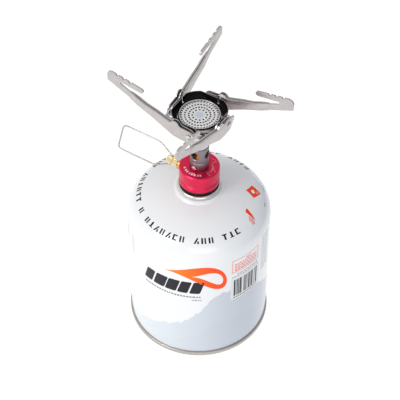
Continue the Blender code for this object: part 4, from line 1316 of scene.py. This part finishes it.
def neck_profile(inset):
    start, end = TUBE_TOP + 0.3, NECK_TOP - 1.6
    foot = TUBE_RADIUS - 0.3
    points = [(NECK_RIM - inset, NECK_TOP)]
    for i in range(19):
        share = 1 - i / 18
        points.append((foot + (NECK_RIM - foot) * share ** 1.9 - inset, start + (end - start) * share))
    return points


def make_burner():
    spigot = TUBE_RADIUS - 1.3
    thin = 0.9
    inner = neck_profile(thin)[::-1]
    inner[0] = (spigot - thin, TUBE_TOP + 1.2)
    end = AIR_HOLE_Z + AIR_HOLE + 0.5
    foot = [(spigot, TUBE_TOP + 0.3), (spigot, end), (spigot - thin, end)]
    neck = turned("burner_neck_skin", rounded(neck_profile(0) + foot + inner, 0.3, True, 3, 25.0),
                  MEDIUM, SATIN, closed=True)
    finished(neck, "burner_neck")

    bore = LIP_RADIUS - 1.4
    under = NECK_TOP + 0.3
    ledge = PLATE_TOP - 0.8
    profile = rounded([
        (bore, LIP_TOP), (bore + 0.7, LIP_TOP), (LIP_RADIUS, LIP_TOP - 1.3), (LIP_RADIUS, under),
        (bore - 0.7, under), (bore - 0.7, ledge), (bore, ledge)], 0.3, True, 4)
    rim = turned("burner_rim_skin", profile, FINE, SATIN, True)
    # The rim's outer slope takes the black as a painted dark reflection like the bowl's, leaving only a
    # thin light top ring.
    rim.data.materials.append(PAINTED_DARK_BLACK.material)
    for face in rim.data.polygons:
        if face.center.xy.length > bore + 0.72:
            face.material_index = 1
    finished(rim, "burner_rim")

    edge = bore - 0.3
    profile = rounded([(0, PLATE_TOP), (edge, PLATE_TOP), (edge, PLATE_TOP - 0.5),
                       (0, PLATE_TOP - 0.5)], 0.15)
    plate = turned("flame_plate_skin", profile, MEDIUM, FLAME)
    for radius, count in HOLE_RINGS:
        punch = [(0, 1.0), (1.1, 1.0), (0.68, -0.06), (0.68, -1.0), (0, -1.0)]
        hole = turned("hole", punch, 12, FLAME)
        combine(plate, ring_of(hole, FLAME, count, radius, PLATE_TOP, 4.0 if count == 24 else 0.0))
    # Painted shade: the hole walls and underside of the plate take the black so the holes read dark.
    plate.data.materials.append(PAINTED_DARK_BLACK.material)
    for face in plate.data.polygons:
        if face.center.z < PLATE_TOP - 0.03 and face.center.xy.length < edge - 0.4:
            face.material_index = 1
    finished(plate, "flame_plate")

    reach = bore - 1.0
    profile = [(0, SCREEN_TOP), (reach * 0.6, SCREEN_TOP), (reach, SCREEN_TOP), (reach, SCREEN_TOP - 0.4),
               (0, SCREEN_TOP - 0.4)]
    # The screen takes the black as painted shade seen through the plate's holes.
    screen = turned("diffuser_screen_skin", profile, MEDIUM, PAINTED_DARK_BLACK)
    finished(screen, "diffuser_screen")


def bowl_point(radius, height, azimuth, flat):
    """A bowl point, drawn in where the four flats are nearer than the round."""
    for i in range(4):
        across = math.radians(azimuth - (ARM_AZIMUTH + 90.0 * i + 90.0))
        reach = math.cos(across)
        if reach > 0.6:
            radius = min(radius, flat / reach)
    angle = math.radians(azimuth)
    return radius * math.cos(angle), radius * math.sin(angle), height


def make_bowl():
    r = BOWL_RADIUS
    wall = 0.6
    inner_hole = LIP_RADIUS + 0.3
    outside = [(r, BOWL_TOP - 0.25), (r - 0.1, BOWL_TOP - 1.0), (r - 0.3, BOWL_TOP - 2.2),
               (r - 0.8, BOWL_LOW + 1.9), (r - 1.5, BOWL_LOW + 0.85), (r - 2.3, BOWL_LOW + 0.25),
               (r - 3.2, BOWL_LOW), (inner_hole, BOWL_LOW)]
    inside = [(inner_hole, BOWL_LOW + wall), (r - 3.2, BOWL_LOW + wall),
              (r - wall - 2.0, BOWL_LOW + wall + 0.3), (r - wall - 1.2, BOWL_LOW + 1.7),
              (r - wall - 0.6, BOWL_LOW + 2.6), (r - wall - 0.25, BOWL_TOP - 2.1),
              (r - wall, BOWL_TOP - 0.4), (r - wall + 0.15, BOWL_TOP - 0.08)]
    edge = [(r - 0.3, BOWL_TOP), (r - 0.12, BOWL_TOP - 0.06)]
    loop = outside + inside + edge
    sides = 288
    points = []
    for j in range(sides):
        azimuth = 360.0 * j / sides
        for k, (radius, height) in enumerate(loop):
            inner = len(outside) <= k < len(outside) + len(inside)
            flat = BOWL_FLAT - (wall if inner else 0.0)
            if k >= len(outside) + len(inside):
                flat = BOWL_FLAT - 0.2
            points.append(bowl_point(radius, height, azimuth, flat))
    count = len(loop)
    faces = []
    for j in range(sides):
        for k in range(count):
            a = j * count + k
            b = j * count + (k + 1) % count
            c = (j + 1) % sides * count + (k + 1) % count
            d = (j + 1) % sides * count + k
            faces.append((a, d, c, b))
    bowl = from_lists("burner_bowl_skin", points, faces, MIRROR, PAINTED_DARK_BLACK)
    for i in range(4):
        slot = box("slot", (4.3, LIP_RADIUS + 1.0, BOWL_LOW - 2), (5.7, BOWL_FLAT + 4, BOWL_TOP + 1),
                   MIRROR)
        combine(bowl, moved(slot, turn_z(ARM_AZIMUTH + 90.0 * i)))
    # Faces on the bowl's inside take the black as a painted dark reflection in the polished steel; the
    # outer faces stay polished steel.
    for face in bowl.data.polygons:
        middle = face.center
        out = Vector((middle.x, middle.y)).normalized()
        toward = face.normal.x * out.x + face.normal.y * out.y
        inner = (toward < -0.2 or face.normal.z > 0.3) and middle.z < BOWL_TOP - 0.15
        face.material_index = 1 if inner else 0
    finished(bowl, "burner_bowl")


def make_bracket():
    inner = LIP_RADIUS + 0.3
    outer = inner + 1.9
    profile = [(outer, BRACKET_TOP), (outer, BRACKET_LOW), (inner, BRACKET_LOW), (inner, BRACKET_TOP)]
    bracket = turned("arm_bracket_skin", profile, MEDIUM, SATIN, closed=True)
    side = ARM_MIDDLE + 0.55
    root = 6.0
    for i in range(4):
        turn = turn_z(ARM_AZIMUTH + 90.0 * i)
        tongue = box("tongue", (-PIVOT_BACK - root - 2.4, inner - 2.6, BRACKET_LOW + 0.05),
                     (-PIVOT_BACK - root - 0.4, side - 0.05, BRACKET_TOP - 0.05), SATIN)
        combine(bracket, moved(tongue, turn), "UNION")
        end = arc((0, 0), 3.4, 90, -90, 24)
        reach = -root - 2.3
        ear = flat_plate("ear", end + [(reach, -2.6), (reach, 1.0)], 1.1, SATIN)
        combine(bracket, moved(ear, arm_place(i)), "UNION")
        hole = rod("hole", 1.45, -1.5, 1.5, 32, SATIN)
        combine(bracket, moved(hole, arm_place(i)))
    softened(bracket, 0.12)
    finished(bracket, "arm_bracket")


# ------------------------------------------------------------ arms

def lower_edge(x):
    return 4.2 + 0.457 * (x - 29.8)


def bar_outline():
    pivot_end = arc((1.1, -0.3), 5.4, 90, 270, 28)
    lower = [(6.9, -5.7), (12.6, -4.9), (29.8, 4.2), (BAR_END, lower_edge(BAR_END) - 0.4)]
    upper = [(BAR_END, lower_edge(BAR_END) + 5.9), (35.5, 12.8), (26.6, 10.4), (15.2, 6.4),
             (13.5, 8.5), (11.2, 9.4), (9.0, 8.4), (7.3, 5.6)]
    rest = rounded([pivot_end[-1], *lower, *upper, pivot_end[0]], 2.2, False, 5, 6.0)
    return pivot_end[:-1] + rest[:-1]


def blade_outline():
    bottom = lower_edge(ARM_REACH)
    top = bottom + 8.8
    start = ARM_REACH - 3.7 - 25.5
    rise = 4.7 / 25.5
    inner_end = arc((start + 1.5, top - 6.7), 2.1, 260, 105, 12)
    teeth = []
    for back in (18.9, 13.7, 8.3):
        x = ARM_REACH - back
        y = top - rise * (ARM_REACH - 3.7 - x)
        teeth += [(x - 1.0, y - rise), (x - 0.5, y - 1.3), (x + 0.5, y - 1.3), (x + 1.0, y + rise)]
    tip = [(ARM_REACH - 3.7, top), (ARM_REACH - 1.1, top - 1.0), (ARM_REACH, top - 3.2),
           (ARM_REACH - 0.2, bottom - 0.1)]
    inner = BAR_END - 5.0
    foot = [(inner, lower_edge(inner) - 0.1), (inner, lower_edge(inner) + 5.5)]
    root = [(ARM_REACH - 11.9, bottom), (ARM_REACH - 10.7, bottom + 0.9),
            (ARM_REACH - 11.3, bottom + 2.5)]
    return inner_end + rounded([inner_end[-1], *teeth, *tip], 0.45, False, 3, 12.0)[1:] + foot + root


def arm_pattern():
    """A pot support: a folded channel, open at the top, that closes into a toothed blade."""
    arm = flat_plate("arm", bar_outline(), ARM_WIDTH, STAINLESS)
    end = BAR_END - 2.0
    channel = rounded([
        (-20, -15), (10.3, -15), (10.3, -4.6), (12.6, -3.9), (29.8, 5.2), (end, lower_edge(end) + 1.0),
        (end, 40), (-20, 40)], 0.6, True, 3)
    combine(arm, flat_plate("channel", channel, 0.6, STAINLESS))
    mouth = [(-20, -15), (10.3, -15), (10.3, -4.6), (13.0, -3.7), (13.0, 40), (-20, 40)]
    combine(arm, flat_plate("mouth", mouth, 1.8, STAINLESS))
    half = ARM_WIDTH / 2
    taper = [(BAR_END - 9, half + 0.2), (BAR_END + 5, half + 3), (BAR_END + 5, 0.75),
             (BAR_END - 0.5, 0.75)]
    flat = Matrix.Rotation(math.pi / 2, 4, "X")
    for side in (-1, 1):
        wedge = flat_plate("wedge", [(x, side * across) for x, across in taper], 80, STAINLESS)
        combine(arm, moved(wedge, flat))
    combine(arm, flat_plate("blade", blade_outline(), 1.2, STAINLESS), "UNION")
    combine(arm, rod("hole", 1.45, -4, 4, 32, STAINLESS))
    return softened(arm, 0.22, 3, 40.0)


def make_arms():
    pattern = arm_pattern()
    side = ARM_WIDTH / 2 + 0.3
    head = [(0, side + 0.3), (2.1, side + 0.3), (2.1, side), (1.2, side), (1.2, -side), (2.1, -side)]
    dome = [(2.1 * math.cos(math.radians(a)), -side - 0.12 - 0.68 * math.sin(math.radians(a)))
            for a in range(0, 90, 10)]
    for i, name in enumerate(ARM_NAMES):
        arm = as_object("arm_" + name + "_skin", pattern.data.copy(), STAINLESS)
        finished(arm, "arm_" + name, place=arm_place(i))
        rivet = turned("rivet_" + name + "_skin", head + dome + [(0, -side - 0.8)], SMALL, STEEL)
        finished(rivet, "rivet_" + name, place=arm_place(i))
    bpy.data.objects.remove(pattern)


# ------------------------------------------------------------ valve

def make_valve():
    place = valve_place()
    start = 9.4
    flange = COLLAR_RADIUS + 0.3
    seat = 8.0
    recess_end = seat + 2.25
    gland = rounded([
        (3.8, start), (2.5, start), (2.5, recess_end), (1.95, recess_end), (1.95, GLAND_END),
        (4.2, GLAND_END), (4.2, flange), (3.8, flange)], 0.2, True)
    finished(turned("gland_nut_skin", gland, 48, WARM_BRASS, True), "gland_nut",
             place=place)
    r = SPINDLE_RADIUS
    end = HANDLE_PIVOT - 1.7
    spindle = [
        (0, end), (r - 0.3, end), (r, end - 0.3), (r, seat + 0.6), (r - 0.5, seat + 0.6),
        (r - 0.5, seat - 0.6), (r, seat - 0.6), (r, 6.8), (0.55, 6.4), (0.45, 1.6), (0, 1.0)]
    finished(turned("valve_spindle_skin", spindle, SMALL, STEEL), "valve_spindle",
             place=place)
    ring = arc((r + 0.15, seat), 0.35, 0, -330, 11)
    finished(turned("spindle_oring_skin", ring, SMALL, RUBBER, True), "spindle_oring",
             place=place)

    hub = box("valve_hub_skin", (-2.8, -2.6, HUB_START), (2.8, 2.6, HUB_END), BRASS)
    softened(hub, 0.55, 4)
    combine(hub, rod("bore", r + 0.3, HUB_START - 2, end + 0.3, SMALL, BRASS))
    across = Matrix.Translation((0, 0, HANDLE_PIVOT)) @ Matrix.Rotation(math.pi / 2, 4, "Y")
    combine(hub, moved(rod("way", 0.8, -10, 10, 24, BRASS), across))
    screw_at = Matrix.Translation((0, 0, HUB_START + 2.1)) @ Matrix.Rotation(-math.pi / 2, 4, "X")
    combine(hub, moved(rod("way", 1.0, 0.5, 6, 24, BRASS), screw_at))
    groove = moved(turned("groove", [(3.75, 0.28), (3.75, -0.28), (2.62, 0.0)], 4, BRASS, True),
                   Matrix.Translation((0, 0, HUB_START + 4.5)) @ turn_z(45))
    combine(hub, groove)
    finished(softened(hub, 0.08, 2), "valve_hub", place=place)
    screw = rounded([(0, 2.7), (0.7, 2.7), (0.7, 2.0), (0, 2.0)], 0.15)
    made = turned("hub_screw_skin", screw, 24, STEEL)
    slot = box("slot", (-0.12, -2, 2.45), (0.12, 2, 3.5), STEEL)
    finished(combine(made, slot), "hub_screw", place=place @ screw_at)


def make_handle():
    narrow = 3.65
    wide, shoulder, length, corner = 9.5, 12.0, 45.8, 3.0
    half = [(1.0, 0.0), (narrow, 0.0), (narrow + 0.2, 2.0), (wide - 1.2, shoulder - 1.6),
            (wide, shoulder + 2.0)]
    half = rounded(half, 1.2, False, 6, 4.0)
    half += arc((wide - corner, length - corner), corner, 0, 90, 12)
    side = [(x, 0.0, z) for x, z in half]
    other = [(-x, 0.0, z) for x, z in half]
    wire = round_wire("wire_handle_skin", side + other[::-1], WIRE_RADIUS, WIRE)
    finished(wire, "wire_handle", sharp=60.0,
             place=valve_place() @ Matrix.Translation((0, 0, HANDLE_PIVOT)))


make_shell()
make_base()
make_valve_cup()
make_canister_valve()
make_prints()
make_collar()
make_core()
make_tube()
make_burner()
make_bowl()
make_bracket()
make_arms()
make_valve()
make_handle()


# ------------------------------------------------------------ studio

def studio_surface(name, colour, glow):
    look = Look(name, tuple(value * 0.1 for value in colour), 0.0, 0.9)
    grain = look.noise(0.02, None, 2.0)
    look.set("Base Color", look.shade(0.98, 1.0, grain))
    look.shader.inputs["Specular IOR Level"].default_value = 0.0
    look.shader.inputs["Emission Color"].default_value = (*colour, 1.0)
    look.shader.inputs["Emission Strength"].default_value = glow
    return look


def card(name, corners, look):
    mesh = bpy.data.meshes.new(name)
    mesh.from_pydata(corners, [], [tuple(range(len(corners)))])
    as_object(name, mesh, look)


def area_light(name, place, target, size, power, colour=(1, 1, 1)):
    data = bpy.data.lights.new(name, "AREA")
    data.shape = "RECTANGLE"
    data.size, data.size_y = size
    data.energy = power
    data.color = colour
    obj = bpy.data.objects.new(name, data)
    obj.location = place
    obj.rotation_euler = (Vector(target) - Vector(place)).to_track_quat("-Z", "Y").to_euler()
    bpy.context.scene.collection.objects.link(obj)


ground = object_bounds()[0].z
FLOOR = studio_surface("studio_white", (1.0, 1.0, 1.0), 1.0)
FLOOR_HALF = 4
card("studio_floor", [(x * FLOOR_HALF, y * FLOOR_HALF, ground)
                      for x, y in ((-1, -1), (1, -1), (1, 1), (-1, 1))], FLOOR)
SHADE = studio_surface("studio_shade", (0.84, 0.90, 1.0), 0.4)
SHADE_X = 0.32
card("shade_right", [(SHADE_X, -0.4, ground + 0.02), (SHADE_X, 0.45, ground + 0.02),
                     (SHADE_X, 0.45, ground + 0.55), (SHADE_X, -0.4, ground + 0.55)], SHADE)

world = bpy.data.worlds.new("studio")
world.use_nodes = True
world.node_tree.nodes["Background"].inputs["Color"].default_value = (1.0, 1.0, 1.0, 1.0)
world.node_tree.nodes["Background"].inputs["Strength"].default_value = 0.7
bpy.context.scene.world = world
centre = (0.0, 0.0, ground + 0.13)
area_light("key", (-0.75, -0.55, ground + 0.9), centre, (0.5, 0.5), 5.5, (1.0, 0.99, 0.97))
area_light("front_fill", (0.1, -1.0, ground + 0.45), centre, (0.7, 0.4), 1.7)

camera_data = bpy.data.cameras.new("camera")
camera_data.sensor_width = 36.0
camera_data.lens = 126.55
camera_data.clip_start = 0.01
camera = bpy.data.objects.new("camera", camera_data)
bpy.context.scene.collection.objects.link(camera)
camera.location = (0.0, -0.70722, ground + 0.90145)
pitch = math.radians(47.793)
yaw = math.radians(0.044)
roll = math.radians(0.3)
ahead = Vector((math.sin(yaw) * math.cos(pitch), math.cos(yaw) * math.cos(pitch), -math.sin(pitch)))
right = ahead.cross(Vector((0, 0, 1))).normalized()
above = right.cross(ahead)
right, above = (right * math.cos(roll) + above * math.sin(roll),
                above * math.cos(roll) - right * math.sin(roll))
camera.rotation_euler = Matrix((right, above, -ahead)).transposed().to_euler()
bpy.context.scene.camera = camera
bpy.context.scene.view_settings.view_transform = "Standard"
